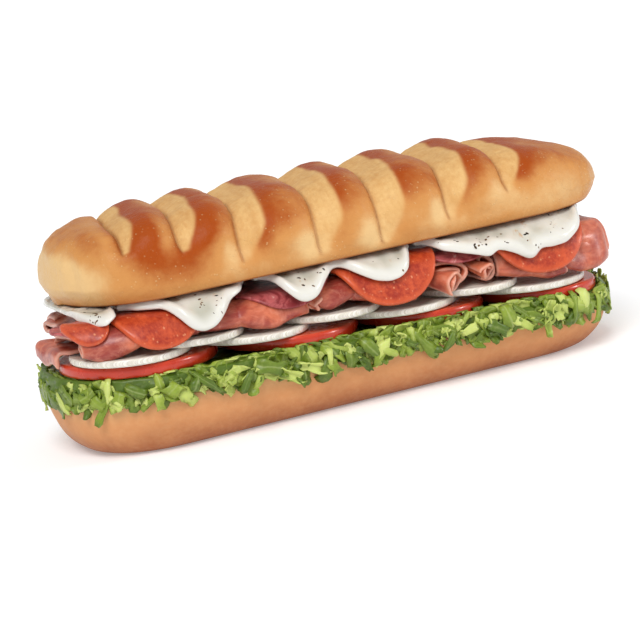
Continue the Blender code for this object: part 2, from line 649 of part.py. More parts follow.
def main():
    clear_scene()
    sandwich = make_collection("submarine_sandwich")
    crust = make_material("golden_crust", (0.66, 0.36, 0.13), 0.55)
    pale_crust = make_material("pale_crust", (0.72, 0.43, 0.20), 0.7)
    leaf = make_material("green_leaf", (0.30, 0.50, 0.10), 0.5)
    tomato = make_material("red_tomato", (0.62, 0.08, 0.04), 0.3)
    onion = make_material("white_onion", (0.85, 0.83, 0.74), 0.35)
    ham = make_material("pink_ham", (0.76, 0.36, 0.30), 0.35)
    salami = make_material("rosy_salami", (0.60, 0.27, 0.28), 0.35)
    pepperoni = make_material("red_pepperoni", (0.62, 0.13, 0.05), 0.35)
    cheese = make_material("white_cheese", (0.90, 0.89, 0.82), 0.25)

    make_base(pale_crust, sandwich)
    make_lettuce(leaf, sandwich)
    make_tomatoes(tomato, sandwich)
    make_onions(onion, sandwich)
    make_ham_folds(ham, sandwich)
    make_ham_rolls(ham, sandwich)
    make_ham_end(ham, sandwich)
    make_round_slices("salami", SALAMI_PLAN, GAP, SALAMI_THICKNESS, salami, sandwich)
    pepperoni_offset = GAP + SALAMI_THICKNESS + SHEET_GAP
    make_round_slices("pepperoni", PEPPERONI_PLAN, pepperoni_offset, PEPPERONI_THICKNESS, pepperoni, sandwich)
    make_cheese(cheese, sandwich)
    make_lid(crust, sandwich)


main()
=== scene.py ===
import math

import bpy
import numpy as np
from mathutils import Matrix, Vector, noise


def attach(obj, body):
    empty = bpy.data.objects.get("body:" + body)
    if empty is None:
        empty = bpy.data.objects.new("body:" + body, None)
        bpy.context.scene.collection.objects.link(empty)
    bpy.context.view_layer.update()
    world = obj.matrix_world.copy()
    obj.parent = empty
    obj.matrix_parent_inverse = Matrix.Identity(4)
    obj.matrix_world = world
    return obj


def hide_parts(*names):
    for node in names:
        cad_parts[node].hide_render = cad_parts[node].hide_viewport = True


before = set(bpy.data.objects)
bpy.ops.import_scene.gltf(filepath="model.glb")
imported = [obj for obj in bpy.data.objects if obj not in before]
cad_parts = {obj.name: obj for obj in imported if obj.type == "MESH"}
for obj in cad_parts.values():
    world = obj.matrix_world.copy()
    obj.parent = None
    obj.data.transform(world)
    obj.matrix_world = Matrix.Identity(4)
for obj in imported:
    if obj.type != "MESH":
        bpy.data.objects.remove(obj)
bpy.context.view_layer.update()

mm = 0.001
print("frame loaded")


# Node trees are written as plain expressions: a Wire wraps one output socket
class Wire:
    def __init__(self, graph, socket):
        self.graph = graph
        self.socket = socket

    def __add__(self, other):
        return self.graph.maths("ADD", self, other)

    def __radd__(self, other):
        return self.graph.maths("ADD", other, self)

    def __sub__(self, other):
        return self.graph.maths("SUBTRACT", self, other)

    def __rsub__(self, other):
        return self.graph.maths("SUBTRACT", other, self)

    def __mul__(self, other):
        return self.graph.maths("MULTIPLY", self, other)

    def __rmul__(self, other):
        return self.graph.maths("MULTIPLY", other, self)

    def __truediv__(self, other):
        return self.graph.maths("DIVIDE", self, other)

    def __pow__(self, other):
        return self.graph.maths("POWER", self, other)

    def sine(self):
        return self.graph.maths("SINE", self)

    def cosine(self):
        return self.graph.maths("COSINE", self)

    def between(self, low, high):  # smooth rise from 0 at low to 1 at high
        return self.graph.node("ShaderNodeMapRange", {"interpolation_type": "SMOOTHSTEP"},
                               {"Value": self, "From Min": low, "From Max": high})

    def output(self, name):  # another output of the same node
        return Wire(self.graph, self.socket.node.outputs[name])


class Graph:
    def __init__(self, tree):
        self.tree = tree

    def node(self, kind, settings=None, inputs=None, output=0):
        made = self.tree.nodes.new(kind)
        for name, value in (settings or {}).items():
            setattr(made, name, value)
        for name, value in (inputs or {}).items():
            if isinstance(value, Wire):
                self.tree.links.new(value.socket, made.inputs[name])
            else:
                made.inputs[name].default_value = value
        return Wire(self, made.outputs[output])

    def maths(self, operation, *values):
        return self.node("ShaderNodeMath", {"operation": operation}, dict(enumerate(values)))

    def vectors(self, operation, *values, output=0):
        return self.node("ShaderNodeVectorMath", {"operation": operation}, dict(enumerate(values)), output)

    def scaled(self, vector, factor):
        return self.node("ShaderNodeVectorMath", {"operation": "SCALE"}, {0: vector, "Scale": factor})

    def parts(self, vector):
        split = self.node("ShaderNodeSeparateXYZ", None, {"Vector": vector})
        return split, split.output("Y"), split.output("Z")

    def joined(self, x, y, z):
        return self.node("ShaderNodeCombineXYZ", None, {"X": x, "Y": y, "Z": z})

    def mix(self, factor, first, second):
        return self.node("ShaderNodeMix", {"data_type": "RGBA"}, {0: factor, 6: first, 7: second}, 2)

    def place(self):  # object coordinates, which are metres in the frame
        return self.node("ShaderNodeTexCoord", output="Object")

    def grain(self, vector, scale, detail=3.0, roughness=0.5, distortion=0.0):
        return self.node("ShaderNodeTexNoise", None, {"Vector": vector, "Scale": scale, "Detail": detail,
                                                      "Roughness": roughness, "Distortion": distortion})

    def cells(self, vector, scale):
        return self.node("ShaderNodeTexVoronoi", None, {"Vector": vector, "Scale": scale})

    def value(self, name):  # a number stored on the mesh
        return self.node("ShaderNodeAttribute", {"attribute_name": name}, output="Fac")

    def vector(self, name):  # a vector stored on the mesh
        return self.node("ShaderNodeAttribute", {"attribute_name": name}, output="Vector")

    def bump(self, height, strength, distance):
        return self.node("ShaderNodeBump", None,
                         {"Height": height, "Strength": strength, "Distance": distance})


def tone(red, green, blue):  # display colour, 0 to 255, as a linear colour
    return tuple((channel / 255.0) ** 2.2 for channel in (red, green, blue)) + (1.0,)


def newMaterial(name, fixed):
    material = bpy.data.materials.new(name)
    material.use_nodes = True
    shader = material.node_tree.nodes["Principled BSDF"]
    for socket, value in fixed.items():
        shader.inputs[socket].default_value = value
    return material, Graph(material.node_tree), shader


def newMoistFood(name, index, coat, coatRough, glow=0.0, glowReach=(1.0, 0.2, 0.1)):
    # a wet sheen, and light that goes a little way in
    return newMaterial(name, {"IOR": index, "Coat Weight": coat, "Coat Roughness": coatRough,
                              "Subsurface Weight": glow, "Subsurface Radius": glowReach})


def feed(graph, shader, **wires):
    for name, wire in wires.items():
        socket = {"colour": "Base Color", "roughness": "Roughness", "normal": "Normal"}[name]
        graph.tree.links.new(wire.socket, shader.inputs[socket])


# Shape rules, in millimetres. They follow the solids, so each piece fills the room of its own solid.
plan = {"power": 2.3, "baseHalfLength": 102.0, "baseHalfWidth": 37.0, "fillSlope": -0.045,
        "baseCut": 18.0, "baseCutSlope": -0.018}
pile = {"top": 43.6, "radius": 8.0, "angle": math.radians(72), "halfWidth": 27.0, "halfLength": 110.0,
        "gap": 0.3, "sheetGap": 0.5, "cheeseGap": 0.7, "salami": 1.1, "pepperoni": 1.9, "cheese": 2.3,
        "ham": 1.5}
stack = {"tomatoBottom": 24.0, "tomatoThick": 4.0, "onionThick": 2.4, "frontY": -36.5, "onionProud": 1.0}


def smoothStep(value):
    value = np.clip(value, 0.0, 1.0)
    return value * value * (3.0 - 2.0 * value)


def planReach(x, halfLength, halfWidth):
    return np.clip((np.abs(x) - (halfLength - halfWidth)) / halfWidth, 0.0, 1.0)


def planHalfWidth(x, halfLength, halfWidth):
    reach = planReach(x, halfLength, halfWidth)
    return halfWidth * (1.0 - reach ** plan["power"]) ** (1.0 / plan["power"])


def planPoint(turn, halfLength, halfWidth):  # outline by length from the tip at +X
    turn = np.asarray(turn, float) % 1.0
    straight = halfLength - halfWidth
    arc = 0.53 * math.pi * halfWidth
    quarter = np.floor(turn * 4.0).astype(int) % 4
    inner = turn * 4.0 - np.floor(turn * 4.0)
    inner = np.where(quarter % 2 == 0, inner, 1.0 - inner)
    travel = inner * (straight + arc)
    angle = 0.5 * math.pi * np.clip(travel / arc, 0.0, 1.0)
    power = 2.0 / plan["power"]
    curved = straight + halfWidth * np.abs(np.cos(angle)) ** power
    x = np.where(travel < arc, curved, straight - (travel - arc))
    y = np.where(travel < arc, halfWidth * np.abs(np.sin(angle)) ** power, halfWidth)
    return np.where((quarter == 0) | (quarter == 3), x, -x), np.where(quarter < 2, y, -y)


def fillDrop(x):
    return plan["fillSlope"] * x


def baseCutZ(x):
    return plan["baseCut"] + plan["baseCutSlope"] * x


def pileNarrowing(x):
    return planHalfWidth(x, pile["halfLength"], plan["baseHalfWidth"]) / plan["baseHalfWidth"]


def drape(planX, planY, offset):  # flat plan points laid over the shouldered pile
    past = np.maximum(np.abs(planY) - pile["halfWidth"], 0.0)
    angle = np.minimum(past / pile["radius"], pile["angle"])
    fall = np.maximum(past - pile["radius"] * pile["angle"], 0.0)
    out = (pile["radius"] + offset) * np.sin(angle) + fall * math.cos(pile["angle"])
    up = (pile["radius"] + offset) * np.cos(angle) - pile["radius"] - fall * math.sin(pile["angle"])
    across = np.copysign(np.minimum(np.abs(planY), pile["halfWidth"]) + out, planY)
    x = planX + 0.0 * across
    return np.stack((x, across * pileNarrowing(planX), pile["top"] + up), -1)


def hangPlanY(height, offset):  # how far out in plan a draped sheet has come down to a height
    turned = pile["top"] - pile["radius"] + (pile["radius"] + offset) * math.cos(pile["angle"])
    low = pile["halfWidth"] + pile["radius"] * pile["angle"] + (turned - height) / math.sin(pile["angle"])
    level = np.clip((height - pile["top"] + pile["radius"]) / (pile["radius"] + offset), -1.0, 1.0)
    return np.where(height < turned, low, pile["halfWidth"] + pile["radius"] * np.arccos(level))


def lumps(points, size, seed, depth=2):  # smooth noise, about -1 to 1, for an array of points
    flat = points.reshape(-1, 3) / size
    values = [noise.fractal((x + seed * 7.3, y - seed * 3.1, z + seed), 1.0, 2.0, depth) for x, y, z in flat]
    return np.array(values).reshape(points.shape[:-1])


def borderSteps(length, step, half):  # places from 0 to length, close together within a rounded edge
    near = np.array([0.0, 0.04, 0.15, 0.34, 0.62, 1.0]) * half
    count = max(int((length - 2.0 * half) / step), 2)
    middle = np.linspace(half, length - half, count + 1)[1:-1]
    return np.concatenate((near, middle, length - near[::-1]))


def roundedHalf(distance, half):  # half thickness at a distance from a rounded edge
    inward = np.clip(1.0 - distance / half, 0.0, 1.0)
    return half * np.sqrt(1.0 - inward ** 2)


def makeMesh(name, points, faces, values=None):
    mesh = bpy.data.meshes.new(name)
    mesh.from_pydata((points * mm).tolist(), [], faces)
    corners = np.array([face[:3] for face in faces])
    a, b, c = (points[corners[:, k]] for k in range(3))
    if np.einsum("ij,ij->i", a, np.cross(b, c)).sum() < 0.0:
        mesh.flip_normals()
    for key, value in (values or {}).items():
        numbers = np.asarray(value, np.float32).ravel()
        mesh.attributes.new(key, "FLOAT", "POINT").data.foreach_set("value", numbers)
    mesh.shade_smooth()
    mesh.update()
    return mesh


def addPiece(name, mesh, material, slot, *nodes):
    piece = bpy.data.objects.new(name, mesh)
    bpy.context.scene.collection.objects.link(piece)
    mesh.materials.clear()
    mesh.materials.append(material)
    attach(piece, "root")
    if nodes:
        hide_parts(*nodes)
    return piece


def tubeMesh(name, rings, first, last, values=None):
    # rings of points, closed round and closed by a fan to one point at each end
    count, sides = rings.shape[:2]
    points = np.concatenate((rings.reshape(-1, 3), [first, last]))
    faces = []
    for ring in range(count - 1):
        low = ring * sides
        for side in range(sides):
            after = (side + 1) % sides
            faces.append((low + side, low + after, low + sides + after, low + sides + side))
    top = (count - 1) * sides
    for side in range(sides):
        after = (side + 1) % sides
        faces.append((count * sides, after, side))
        faces.append((count * sides + 1, top + side, top + after))
    ends = {key: np.append(value.ravel(), (value[0].mean(), value[-1].mean()))
            for key, value in (values or {}).items()}
    return makeMesh(name, points, faces, ends)


def sheetMesh(name, upper, lower, values):
    # two skins that meet along their common border
    rows, columns = upper.shape[:2]
    inside = np.zeros((rows, columns), bool)
    inside[1:-1, 1:-1] = True
    index = np.arange(rows * columns).reshape(rows, columns)
    under = index.copy()
    under[inside] = rows * columns + np.arange(inside.sum())
    points = np.concatenate((upper.reshape(-1, 3), lower[inside]))
    faces = []
    for row in range(rows - 1):
        for column in range(columns - 1):
            faces.append((index[row, column], index[row, column + 1], index[row + 1, column + 1],
                          index[row + 1, column]))
            faces.append((under[row, column], under[row + 1, column], under[row + 1, column + 1],
                          under[row, column + 1]))
    both = {key: np.concatenate((value.ravel(), value[inside])) for key, value in values.items()}
    return makeMesh(name, points, [tuple(int(corner) for corner in face) for face in faces], both)


def normalsOf(middle):
    alongRows = np.gradient(middle, axis=0)
    alongColumns = np.gradient(middle, axis=1)
    normals = np.cross(alongRows, alongColumns)
    return normals / np.maximum(np.linalg.norm(normals, axis=-1, keepdims=True), 1e-9)


def thickSheet(name, middle, thickness, waves, waveSize, seed):
    # a middle surface given as rows and columns of points becomes a soft slice with rounded edges
    middle = middle + normalsOf(middle) * (lumps(middle, waveSize, seed) * waves)[..., None]
    normals = normalsOf(middle)
    alongRows = np.linalg.norm(np.diff(middle, axis=0), axis=-1)
    alongColumns = np.linalg.norm(np.diff(middle, axis=1), axis=-1)
    down = np.concatenate((np.zeros((1, middle.shape[1])), np.cumsum(alongRows, 0)))
    over = np.concatenate((np.zeros((middle.shape[0], 1)), np.cumsum(alongColumns, 1)), 1)
    edge = np.minimum(np.minimum(down, down[-1:] - down), np.minimum(over, over[:, -1:] - over))
    half = roundedHalf(edge, 0.5 * thickness)[..., None]
    return sheetMesh(name, middle + normals * half, middle - normals * half, {"edge": edge})


def evenLine(points, steps):  # the same line with points at the given shares of its length
    points = np.asarray(points, float)
    lengths = np.concatenate(([0.0], np.cumsum(np.linalg.norm(np.diff(points, axis=0), axis=1))))
    steps = steps * lengths[-1]
    return np.stack([np.interp(steps, lengths, points[:, axis]) for axis in range(points.shape[1])], -1)


# Upper half of the roll: dome, scored cuts and rounded underside
bunTop = {
    "centreX": 3.8, "halfLength": 101.5, "halfWidth": 36.2,
    "cutHeight": 50.8, "rimHeight": 57.0, "crestHeight": 77.1, "crestSlope": -0.010,
    "leftFall": 1.2, "rightFall": 5.2, "undercut": 3.6, "edgePower": 4.2, "domePower": 0.42, "rounding": 0.62,
    "cuts": (-74.6, -54.4, -33.8, -7.2, 15.9, 41.3, 63.5),
    "frontEnd": (66.0, 63.0, 56.0, 52.5, 51.5, 55.0, 60.0), "backEnd": 66.0,  # height where a cut fades out
    "lean": 0.15, "centreY": 3.0, "depth": 3.9, "flankDepth": 2.3, "swell": 1.2, "lobe": 8.0,
    "bands": (6.5, 8.0, 9.6, 9.6, 10.0, 9.0, 8.5),  # width of the pale opened crust beside each cut
    "rings": 440, "domeSides": 104, "rimSides": 14, "faceSides": 10,
}


def cutX(look, number, y):  # a cut wanders a little on its way across
    wander = 0.5 * np.sin(y / 7.0 + 2.1 * number) + 0.1 * np.sin(y / 2.1 + number)
    return look["cuts"][number] + look["lean"] * (y - look["centreY"]) + wander


def bunTopRings(look):
    steps = np.linspace(-1.0, 1.0, look["rings"] + 2)[1:-1]
    local = np.sign(steps) * look["halfLength"] * (1.0 - (1.0 - np.abs(steps)) ** 1.3)
    half = planHalfWidth(local, look["halfLength"], look["halfWidth"])[:, None]
    crestX = (local + look["centreX"])[:, None]
    angle = np.linspace(0.0, math.pi, look["domeSides"] + 1)[None, :]
    y = half * np.sign(np.cos(angle)) * np.abs(np.cos(angle)) ** look["rounding"]
    reach = planReach(local, look["halfLength"], look["halfWidth"])[:, None]
    power = plan["power"]
    share = (reach ** power + (np.abs(y) / look["halfWidth"]) ** power) ** (1.0 / power)
    dome = np.maximum(1.0 - share ** look["edgePower"], 0.0) ** look["domePower"]
    fall = np.where(local < 0.0, look["leftFall"], look["rightFall"])
    fall = (fall * smoothStep(2.0 * np.abs(local) / look["halfLength"] - 1.0))[:, None]
    crest = look["crestHeight"] + look["crestSlope"] * crestX - fall
    fromTip = (1.0 - np.abs(local) / look["halfLength"])[:, None]
    leaning = smoothStep(fromTip * 5.0)
    x = crestX + look["lean"] * (y - look["centreY"]) * leaning
    z = look["rimHeight"] + (crest - look["rimHeight"]) * dome

    # the bottom of the flank rolls under to the flat cut face
    t = np.linspace(0.0, 0.5 * math.pi, look["rimSides"] + 1)[1:][None, :]
    under = np.minimum(look["undercut"], 0.6 * half)
    rimY = half - under + under * np.cos(t) ** 0.8
    rimZ = look["rimHeight"] - (look["rimHeight"] - look["cutHeight"]) * np.sin(t) + 0.0 * half
    rimX = look["centreX"] + local[:, None] * (1.0 - (under / look["halfLength"]) * np.sin(t))
    across = np.linspace(1.0, -1.0, look["faceSides"] + 1)[1:-1]
    faceY = (half - under) * across[None, :]
    faceX = rimX[:, -1:] + 0.0 * faceY
    faceZ = look["cutHeight"] + 0.35 * lumps(np.stack((faceX, faceY, 0.0 * faceX), -1), 4.0, 8) ** 2
    level = 1.0 - smoothStep(t / t[0, -1])
    front = np.stack((rimX + look["lean"] * (-half - look["centreY"]) * leaning * level, -rimY, rimZ), -1)
    back = np.stack((rimX + look["lean"] * (half - look["centreY"]) * leaning * level, rimY, rimZ), -1)
    face = np.stack((faceX, -faceY, faceZ), -1)
    return np.concatenate((np.stack((x, y + 0.0 * x, z), -1), front, face, back[:, ::-1]), 1)


def buildBunTop(look, material):
    rings = bunTopRings(look)
    down = np.gradient(rings, axis=0)
    around = np.roll(rings, -1, axis=1) - np.roll(rings, 1, axis=1)
    normals = np.cross(around, down)
    normals /= np.maximum(np.linalg.norm(normals, axis=-1, keepdims=True), 1e-9)
    normals *= np.sign(normals[:, look["domeSides"] // 2, 2]).mean()
    x, y, z = (rings[..., axis] for axis in range(3))
    skin = np.ones(rings.shape[:2])
    faceStart = look["domeSides"] + 1 + look["rimSides"]
    skin[:, faceStart:faceStart + look["faceSides"] - 1] = 0.0
    skin *= smoothStep((z - look["cutHeight"]) / 4.0)
    soft = lumps(rings, 16.0, 3)
    fine = lumps(rings * (1.0, 0.55, 0.55), 2.6, 5, 3)
    high = smoothStep((z - 58.0) / 14.0)

    relief, slash, crease, lobe, patch = (np.zeros(rings.shape[:2]) for k in range(5))
    for number in range(len(look["cuts"])):
        offset = x - cutX(look, number, y)
        low = np.where(y < 0.0, look["frontEnd"][number], look["backEnd"])
        fade = smoothStep((z - low) / 6.0)
        left = 0.55 * np.exp(-(offset / 1.0) ** 2) + 0.45 * np.exp(-(offset / 4.0) ** 2)
        right = 0.5 * np.exp(-np.abs(offset) / 2.0) + 0.5 * np.exp(-(offset / 8.0) ** 2)
        depth = look["flankDepth"] + (look["depth"] - look["flankDepth"]) * high
        relief -= depth * np.where(offset < 0.0, left, right) * fade
        band = look["bands"][number] * (0.25 + 0.75 * smoothStep((z - low) / 14.0))
        band = band * (1.0 + 0.04 * np.sin(y / 6.0 + number) + 0.05 * soft)
        past = offset - band + 1.6 + 0.12 * fine
        inBand = smoothStep((offset + 0.35) / 0.7) * (1.0 - smoothStep(past / 3.6))
        slash = np.maximum(slash, inBand * smoothStep(fade * 2.0))
        # each cut's line; the material darkens it as painted shade
        crease = np.maximum(crease, np.exp(-(offset / 0.5) ** 2) * smoothStep(fade * 3.0))
        beside = np.exp(-(np.maximum(offset - band, 0.0) / 7.0) ** 2)
        lobe = np.maximum(lobe, beside * (offset > 0.5 * band) * fade)
        patch += 0.30 * np.exp(-((offset - 8.0) / 5.0) ** 2 - ((z - low - 6.0) / 5.0) ** 2)
        # painted highlight: a pale patch just left of each cut, low on the flank, standing in for a glossy
        # sheen
        patch -= 0.34 * np.exp(-((offset + 3.8) / 3.4) ** 2 - ((z - low - 6.0) / 5.5) ** 2)
        if number + 1 < len(look["cuts"]):
            middle = 0.5 * (cutX(look, number, y) + cutX(look, number + 1, y)) + 2.0
            relief += look["swell"] * np.exp(-((x - middle) / look["lobe"]) ** 2) * fade
    dent = lumps(rings * (1.0, 1.0, 0.6), 6.5, 7, 2)
    wrinkle = np.exp(-((x + 94.0) / 9.0) ** 2) * np.sin(x * 1.7 + 2.0 * soft)
    relief = relief + 0.4 * soft + 0.22 * dent + (0.09 + 0.12 * slash) * fine + 0.16 * wrinkle
    relief = relief - 0.8 * crease * np.abs(fine)
    rings = rings + normals * (relief * skin)[..., None]

    # browning of the crust, darker towards the crest and on the lobes; the terms below also add painted shade
    # and painted highlights
    bakeAndPaintedLight = 0.22 + 0.52 * high + 0.30 * lobe * high + 0.16 * soft - 0.22 * slash
    # painted shade: a darker patch on the front flank near the left end
    bakeAndPaintedLight += 0.62 * np.exp(-((x + 66.0) / 17.0) ** 2 - ((z - 61.0) / 8.0) ** 2) * (y < 0.0)
    # painted highlight: the left end is paler, standing in for a glossy sheen there
    bakeAndPaintedLight -= 0.95 * np.exp(-((x + 97.0) / 8.0) ** 2 - ((z - 63.0) / 8.0) ** 2)
    bakeAndPaintedLight += patch + 0.14 * smoothStep((56.0 - z) / 4.0)
    crumb = 0.6 * (1.0 - smoothStep((z - look["cutHeight"] - 0.2) / 1.0))
    crumb[:, faceStart + 1:faceStart + look["faceSides"] - 2] = 1.0
    crumb[:3] = crumb[-3:] = 0.0  # or the cut face's colour runs up to the tips
    slash = slash * (0.45 + 0.55 * high)
    values = {"bakeAndPaintedLight": bakeAndPaintedLight, "slash": slash, "crease": crease, "crumb": crumb}
    tips = [(look["centreX"] + side * look["halfLength"], 0.0, look["rimHeight"]) for side in (-1.0, 1.0)]
    inside = np.array((0.999, 1.0, 1.0))  # the right end stays inside the solid's box
    mesh = tubeMesh("bunTop", rings * inside, tips[0] * inside, tips[1] * inside, values)
    return addPiece("bunTop", mesh, material, "crust_golden", "bread_top")


# Lower half of the roll: level foot, soft flank and cut face
bunBottom = {"footShare": 0.66, "sides": 360, "flankRings": 40, "faceRings": 8}


def buildBunBottom(look, material):
    turn = np.arange(look["sides"]) / look["sides"]
    rings = []
    cut = []
    for share in np.linspace(0.25, 0.97, 5):  # foot
        inset = (1.0 - look["footShare"]) * plan["baseHalfWidth"]
        x, y = planPoint(turn, plan["baseHalfLength"] - inset, plan["baseHalfWidth"] - inset)
        rings.append(np.stack((x * share, y * share, 0.0 * x), -1))
        cut.append(0.0 * x)
    for angle in np.linspace(0.0, 0.5 * math.pi, look["flankRings"]):
        inset = (1.0 - look["footShare"]) * (1.0 - math.sin(angle)) * plan["baseHalfWidth"]
        x, y = planPoint(turn, plan["baseHalfLength"] - inset, plan["baseHalfWidth"] - inset)
        z = baseCutZ(x) * (1.0 - math.cos(angle))
        soft = lumps(np.stack((x, y, z), -1), 13.0, 21) * math.sin(angle * 2.0)
        grow = 1.0 + 0.008 * soft
        rings.append(np.stack((x * grow, y * grow, z), -1))
        cut.append(0.0 * x)
    for share in np.linspace(0.985, 0.2, look["faceRings"]):
        x, y = planPoint(turn, plan["baseHalfLength"], plan["baseHalfWidth"])
        x, y = x * share, y * share
        rings.append(np.stack((x, y, baseCutZ(x)), -1))
        cut.append(0.0 * x + 1.0)
    mesh = tubeMesh("bunBottom", np.array(rings), (0.0, 0.0, 0.0), (0.0, 0.0, baseCutZ(0.0)),
                    {"crumb": np.array(cut)})
    return addPiece("bunBottom", mesh, material, "crust_pale", "bread_bottom")


# Round slices of tomato and onion that lie flat in the stack
tomatoes = {"places": ((-73.0, 27.0), (-20.5, 25.0), (28.0, 23.2), (73.5, 22.0)), "rounding": 1.1,
            "uneven": 0.008, "sides": 104}
onions = {"places": ((-77.6, 20.5, 0), (-57.0, 18.0, 1), (-35.5, 20.3, 0), (-8.0, 19.5, 1), (18.0, 22.5, 0),
                     (45.0, 18.0, 1), (68.5, 23.0, 0)), "uneven": 0.012, "rounding": 0.75, "sides": 104,
          "ringWidth": 3.4}


def sliceRings(centre, radius, bottom, thickness, rounding, uneven, sides, relief):
    # profile from the top's middle round the rim to the bottom's middle
    half = 0.5 * thickness
    flat = np.linspace(0.08, 0.96, 17) * (radius - rounding)
    arc = np.linspace(0.5 * math.pi, -0.5 * math.pi, 15)
    bulge = np.sign(np.sin(arc)) * np.abs(np.sin(arc)) ** 0.85
    rimR = radius - rounding + rounding * np.cos(arc) ** 0.8
    profileR = np.concatenate((flat, rimR, flat[::-1]))
    rise = relief(flat)
    profileZ = np.concatenate((half + rise, bulge * half, -half - rise[::-1]))
    around = np.arange(sides) * 2.0 * math.pi / sides
    swell = 1.0 + uneven * (np.sin(2.0 * around + centre[0] * 0.09) + 0.5 * np.sin(3.0 * around))
    x = centre[0] + profileR[:, None] * np.cos(around)[None, :] * swell
    y = centre[1] + profileR[:, None] * np.sin(around)[None, :] * swell
    z = bottom + half + profileZ[:, None] + fillDrop(x)
    skin = np.concatenate((0.0 * flat, 0.15 + 0.85 * np.cos(arc) ** 0.5, 0.0 * flat))[:, None] + 0.0 * x
    length = profileR[:, None] * around[None, :]
    fromMiddle = (profileR / radius)[:, None] + 0.0 * x
    values = {"skin": skin, "arc": length, "fromMiddle": fromMiddle, "level": profileZ[:, None] + 0.0 * x}
    ends = [(centre[0], centre[1], bottom + half + side * half + fillDrop(centre[0])) for side in (1.0, -1.0)]
    return np.stack((x, y, z), -1), ends, values


def buildTomatoes(look, material):
    for number, (x, radius) in enumerate(look["places"], 1):
        centre = (x, stack["frontY"] + radius)
        rings, ends, values = sliceRings(
            centre, radius, stack["tomatoBottom"], stack["tomatoThick"], look["rounding"], look["uneven"],
            look["sides"], lambda r: -0.12 * np.cos(r * 0.9) ** 2)
        mesh = tubeMesh(f"tomatoSlice{number}", rings, ends[0], ends[1], values)
        addPiece(f"tomatoSlice{number}", mesh, material, "tomato", f"tomato_{number}")


def buildOnions(look, material):
    for number, (x, radius, raised) in enumerate(look["places"], 1):
        bottom = stack["tomatoBottom"] + stack["tomatoThick"] + pile["gap"]
        bottom += raised * (stack["onionThick"] + pile["gap"])
        centre = (x, stack["frontY"] - stack["onionProud"] + radius)
        rings, ends, values = sliceRings(
            centre, radius, bottom, stack["onionThick"], look["rounding"], look["uneven"], look["sides"],
            lambda r: -0.28 * np.abs(np.cos(math.pi * (radius - r) / look["ringWidth"])) ** 9)
        mesh = tubeMesh(f"onionSlice{number}", rings, ends[0], ends[1], values)
        addPiece(f"onionSlice{number}", mesh, material, "onion", f"onion_{number}")


# Ham: folded, rolled and curled slices
hams = {
    "thickness": 1.5, "foldTurn": 1.7, "restSag": -1.2, "leastFall": 0.5, "rollSpace": 0.9, "step": 1.2,
    "foldLength": 150.0, "foldStep": 1.3, "rollLength": 70.0, "rollSteps": (1.2, 1.5),
    "folds": ((1, -97.0, -60.5, 2.6, 0.8), (2, -58.5, -23.0, 1.6, 0.3), (4, -4.5, 18.5, 0.6, 0.6),
              (7, 53.0, 73.5, 2.6, 0.9), (8, 75.0, 98.0, 0.4, 0.5)),
    "rolls": ((3, -13.8, 7.0, 1.5, 0.6), (5, 30.5, 10.6, 2.1, -0.8), (6, 47.2, 4.4, 1.3, 0.5)),
    "drops": {1: (-86.0, -97.0, 1.0)},  # a slice's outer end comes down from, to, by
    "endEdge": -99.2, "endFlat": 20.0, "endBend": 2.0, "endHang": 3.0, "endHalfWidth": 17.0,
}


def hamLow(x):
    level = stack["tomatoBottom"] + stack["tomatoThick"] + 2.0 * (stack["onionThick"] + pile["gap"])
    return level + 2.0 * pile["gap"] + fillDrop(x)


def foldLine(look, low, sag, steps):
    # section of a folded slice: under, up over the front shoulder, across and down behind
    offset = -pile["gap"] - 0.5 * pile["ham"]
    turn = look["foldTurn"]
    bottom = low + 0.5 * pile["ham"]
    edge = min(bottom + 2.0 * turn - sag, pile["top"] + offset - look["leastFall"])
    hang = float(hangPlanY(edge, offset))
    slope = min((hang - pile["halfWidth"]) / pile["radius"], pile["angle"])
    rows = np.concatenate((np.linspace(-hang, -pile["halfWidth"], 14), np.linspace(-20.0, 20.0, 5),
                           np.linspace(pile["halfWidth"], hang, 14)))
    top = drape(np.zeros_like(rows), rows, offset)[:, 1:]
    centre = top[0] + np.array((math.sin(slope), -math.cos(slope))) * turn
    angles = -0.5 * math.pi - (math.pi - slope) * np.linspace(0.0, 0.94, 10)
    arc = np.stack((centre[0] + turn * np.cos(angles), centre[1] + turn * np.sin(angles)), -1)
    inner = np.array(((-1.5, bottom), (-0.5 * pile["halfWidth"], bottom)))
    front = np.concatenate((inner, arc))
    return evenLine(np.concatenate((front, top, front[::-1] * (-1.0, 1.0))), steps)


def buildHamFolds(look, material):
    for number, start, end, sag, sway in look["folds"]:
        places = borderSteps(end - start, look["step"], 0.5 * look["thickness"]) + start
        rows = borderSteps(look["foldLength"], look["foldStep"], 0.5 * look["thickness"]) / look["foldLength"]
        columns = []
        for x in places:
            u = (x - start) / (end - start)
            belly = math.sin(math.pi * u)
            droop = sag * belly + sway * math.sin(2.0 * math.pi * u + number)
            line = foldLine(look, hamLow(x), droop + look["restSag"], rows)
            line[:, 0] *= pileNarrowing(x) * (1.0 - 0.05 * (1.0 - belly))
            if number in look["drops"]:
                first, last, drop = look["drops"][number]
                outer = smoothStep((x - first) / (last - first))
                middle = 0.5 * (line[:, 1].min() + line[:, 1].max())
                line[:, 1] = middle + (line[:, 1] - middle) * (1.0 - 0.25 * outer) - drop * outer
            outward = 2.0 * u - 1.0
            ragged = 2.2 * (np.sin(9.0 * rows + number) + 0.5 * np.sin(23.0 * rows)) * np.abs(outward) ** 3
            place = x - 1.5 * outward - np.sign(u - 0.5) * ragged
            columns.append(np.stack((place, line[:, 0], line[:, 1]), -1))
        middle = np.stack(columns, 1)
        mesh = thickSheet(f"hamFold{number}", middle, look["thickness"], 0.35, 7.0, number)
        addPiece(f"hamFold{number}", mesh, material, "ham", f"ham_{number}")


